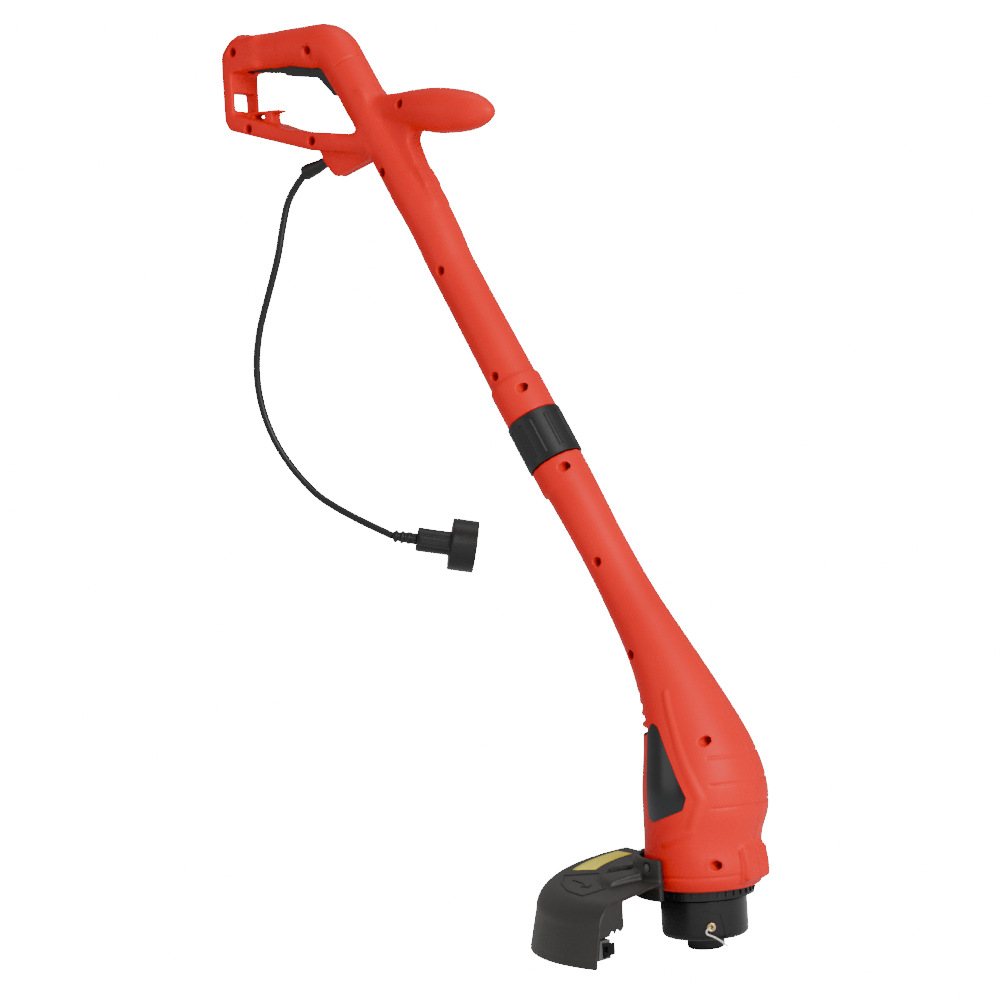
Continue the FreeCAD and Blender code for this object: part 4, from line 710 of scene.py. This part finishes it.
def eyelet(work, turn):
    """A rolled brass ring with its axis pointing out of the head."""
    angle = math.radians(turn)
    out = Vector((math.cos(angle), math.sin(angle), 0))
    middle = on_head(turn, EYELET_PROUD, 0, EYELET_HEIGHT)
    start = middle + UP * EYELET_RADIUS
    ring = bmesh.ops.create_circle(work, segments=16, radius=RIM_RADIUS)
    stand = Matrix((out, UP, out.cross(UP))).transposed().to_4x4()
    bmesh.ops.transform(work, matrix=Matrix.Translation(start) @ stand, verts=ring["verts"])
    edges = list({edge for vert in ring["verts"] for edge in vert.link_edges})
    bmesh.ops.spin(work, geom=ring["verts"] + edges, cent=middle, axis=out, angle=math.tau,
                   steps=RIM_STEPS, use_merge=True)


LINE_PATH = [
    (-0.012, 0.0, 0.0270), (0.0030, 0.0004, 0.0268), (0.0056, -0.0052, 0.0266),
    (0.0030, -0.0060, 0.0210), (0.0040, -0.0010, 0.0196), (0.0064, 0.0060, 0.0160),
    (0.0080, 0.0140, 0.0090),
]
for number, turn in enumerate((EYELET_TURN, EYELET_TURN + 180.0)):
    work = bmesh.new()
    eyelet(work, turn)
    finish_piece("eyelet_rim_" + str(number), work, "rotor", brass)
    data = bpy.data.curves.new("line_tail_" + str(number), "CURVE")
    data.dimensions = "3D"
    data.bevel_depth = LINE_RADIUS
    data.bevel_resolution = 4
    data.use_fill_caps = True
    tail_spline = data.splines.new("NURBS")
    tail_spline.points.add(len(LINE_PATH) - 1)
    for point, (outward, aside, height) in zip(tail_spline.points, LINE_PATH):
        point.co = (*on_head(turn, outward, aside, height), 1.0)
    tail_spline.order_u = 4
    tail_spline.use_endpoint_u = True
    tail = bpy.data.objects.new("line_tail_" + str(number), data)
    bpy.context.scene.collection.objects.link(tail)
    data.materials.append(nylon)
    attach(tail, "rotor")
    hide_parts("line_tails")
print("line tails", len(LINE_PATH), "points each")

# %% [markdown]
# ### Ribs of the ring and tab of the spool housing
# Small upright ribs stand round the black ring under the rim. A release tab is outlined on the
# spool housing beside the eyelet by a thin raised line.

# %% Ribs and tab
RIB_COUNT = 36
RIB_SIZE = (0.0024, 0.0014, 0.0045)
RIB_DROP = 0.004
RING_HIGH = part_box("bottom_ring")[1]
RING_ROUND = RING_HIGH.y

work = bmesh.new()
for number in range(RIB_COUNT):
    turn = math.tau * number / RIB_COUNT
    rib = bmesh.ops.create_cube(work, size=1.0)["verts"]
    bmesh.ops.scale(work, vec=RIB_SIZE, verts=rib)
    bmesh.ops.rotate(work, cent=(0, 0, 0), matrix=Matrix.Rotation(turn, 3, "Z"), verts=rib)
    middle = (RING_ROUND * math.cos(turn), RING_ROUND * math.sin(turn), RING_HIGH.z - RIB_DROP)
    bmesh.ops.translate(work, vec=MOTOR_AXIS + Vector(middle), verts=rib)
finish_piece("ring_ribs", work, "lower_unit", collar_plastic, 20.0)

TAB_LINE = [(-57.0, 0.0419), (-35.0, 0.0385), (-28.5, 0.0160), (-44.0, 0.0130)]
TAB_STEPS = 6
TAB_WIDTH = 0.0010
TAB_PROUD = 0.0005
TAB_SINK = 0.0003


def tab_outline(turn_shift):
    """Places along the tab's outline, close enough together to follow the round housing."""
    places = []
    for (turn_1, high_1), (turn_2, high_2) in zip(TAB_LINE, TAB_LINE[1:]):
        for step in range(TAB_STEPS):
            share = step / TAB_STEPS
            turn = turn_1 + (turn_2 - turn_1) * share + turn_shift
            places.append((turn, high_1 + (high_2 - high_1) * share))
    return places


def head_strip(work, places, width, height):
    """A raised line on the side of the spool housing."""
    spots = [on_head(turn, -TAB_SINK, 0, high) for turn, high in places]
    for start, end in zip(spots, spots[1:]):
        out = (start + end) / 2 - MOTOR_AXIS
        out.z = 0.0
        out.normalize()
        across = (end - start).cross(out).normalized() * (width / 2)
        face = work.faces.new([work.verts.new(spot) for spot in
                               (start - across, end - across, end + across, start + across)])
        made = bmesh.ops.extrude_face_region(work, geom=[face])
        top = [item for item in made["geom"] if isinstance(item, bmesh.types.BMVert)]
        bmesh.ops.translate(work, vec=out * (height + TAB_SINK), verts=top)


work = bmesh.new()
for shift in (0.0, 180.0):
    head_strip(work, tab_outline(shift), TAB_WIDTH, TAB_PROUD)
finish_piece("housing_tabs", work, "rotor", black_plastic, 20.0)

# %% [markdown]
# ## The mains cord
# The short cord leaves the boss under the handle, hangs clear of the shaft and curls round to its
# plug. It is stiff outdoor cable, so its bends are wide and uneven. One NURBS curve through a few
# given points bends as smoothly as cable does.

# %% The mains cord
CORD_DIAMETER = 0.008
CORD_ROUTE = [
    (0.007, 0, -0.131), (-0.014, -0.004, -0.151), (-0.022, -0.008, -0.182), (-0.028, -0.012, -0.216),
    (-0.043, -0.014, -0.254), (-0.061, -0.015, -0.296), (-0.071, -0.012, -0.340),
    (-0.069, -0.006, -0.384), (-0.055, 0.004, -0.427), (-0.027, 0.018, -0.468),
    (-0.004, 0.028, -0.486), (0.024, 0.041, -0.504), (0.050, 0.054, -0.519),
]
cord_data = bpy.data.curves.new("mains_cord", "CURVE")
cord_data.dimensions = "3D"
cord_data.bevel_depth = CORD_DIAMETER / 2
cord_data.bevel_resolution = 6
cord_data.resolution_u = 16
spline = cord_data.splines.new("NURBS")
spline.points.add(len(CORD_ROUTE) - 1)
for point, place in zip(spline.points, CORD_ROUTE):
    point.co = (*place, 1.0)
spline.order_u = 3
spline.use_endpoint_u = True
mains_cord = bpy.data.objects.new("mains_cord", cord_data)
bpy.context.scene.collection.objects.link(mains_cord)
cord_data.materials.append(soft_vinyl)
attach(mains_cord, "upper_unit")
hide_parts("power_cord")

print("cord route", len(CORD_ROUTE), "points")

# %% [markdown]
# ## Floor and light
# A plain pale floor just under the bump knob and three large soft lamps, as in a small product
# studio. The world is a light grey that fills the shadows.

# %% Floor and light
BACKDROP = 30.0
WORLD_FILL = 0.50
FLOOR_SIZE = 12.0
FLOOR_GAP = 0.0005
WHITE = (1.0, 1.0, 1.0, 1.0)
work = bmesh.new()
bmesh.ops.create_grid(work, x_segments=1, y_segments=1, size=FLOOR_SIZE)
bmesh.ops.translate(work, vec=(MOTOR_AXIS.x, 0, GROUND - FLOOR_GAP), verts=work.verts)
floor_mesh = bpy.data.meshes.new("studio_floor")
work.to_mesh(floor_mesh)
work.free()
floor = bpy.data.objects.new("studio_floor", floor_mesh)
bpy.context.scene.collection.objects.link(floor)
floor_finish, nodes, links, shader = new_material("studio_floor")
where = coordinates(nodes)
tone = noise(nodes, links, where, 1.5)
links.new(ramp(nodes, links, tone, [(0.3, (0.86, 0.86, 0.86)), (0.7, (0.90, 0.90, 0.90))]),
          shader.inputs["Base Color"])
shader.inputs["Roughness"].default_value = 0.9
seen = nodes.new("ShaderNodeLightPath").outputs["Is Camera Ray"]
links.new(spread(nodes, links, seen, 0.0, BACKDROP), shader.inputs["Emission Strength"])
shader.inputs["Emission Color"].default_value = WHITE
floor_mesh.materials.append(floor_finish)

world = bpy.data.worlds.new("studio_world")
world.use_nodes = True
world.node_tree.nodes["Background"].inputs["Color"].default_value = WHITE
nodes = world.node_tree.nodes
links = world.node_tree.links
seen = nodes.new("ShaderNodeLightPath").outputs["Is Camera Ray"]
links.new(spread(nodes, links, seen, WORLD_FILL, BACKDROP), nodes["Background"].inputs["Strength"])
bpy.context.scene.world = world


def soft_lamp(name, position, target, size, power):
    """A large square lamp that faces a target."""
    data = bpy.data.lights.new(name, "AREA")
    data.shape = "SQUARE"
    data.size = size
    data.energy = power
    lamp = bpy.data.objects.new(name, data)
    bpy.context.scene.collection.objects.link(lamp)
    aim = Vector(target) - Vector(position)
    lamp.location = position
    lamp.rotation_mode = "QUATERNION"
    lamp.rotation_quaternion = aim.to_track_quat("-Z", "Y")


MIDDLE = (0.2, 0.0, -0.45)
soft_lamp("key_lamp", (2.6, -0.9, 0.5), MIDDLE, 1.6, 92.0)
soft_lamp("fill_lamp", (-1.2, -2.4, 0.2), MIDDLE, 1.8, 14.0)
soft_lamp("top_lamp", (0.5, 0.3, 2.2), MIDDLE, 1.5, 16.0)
print("lamps", len(bpy.data.lights))
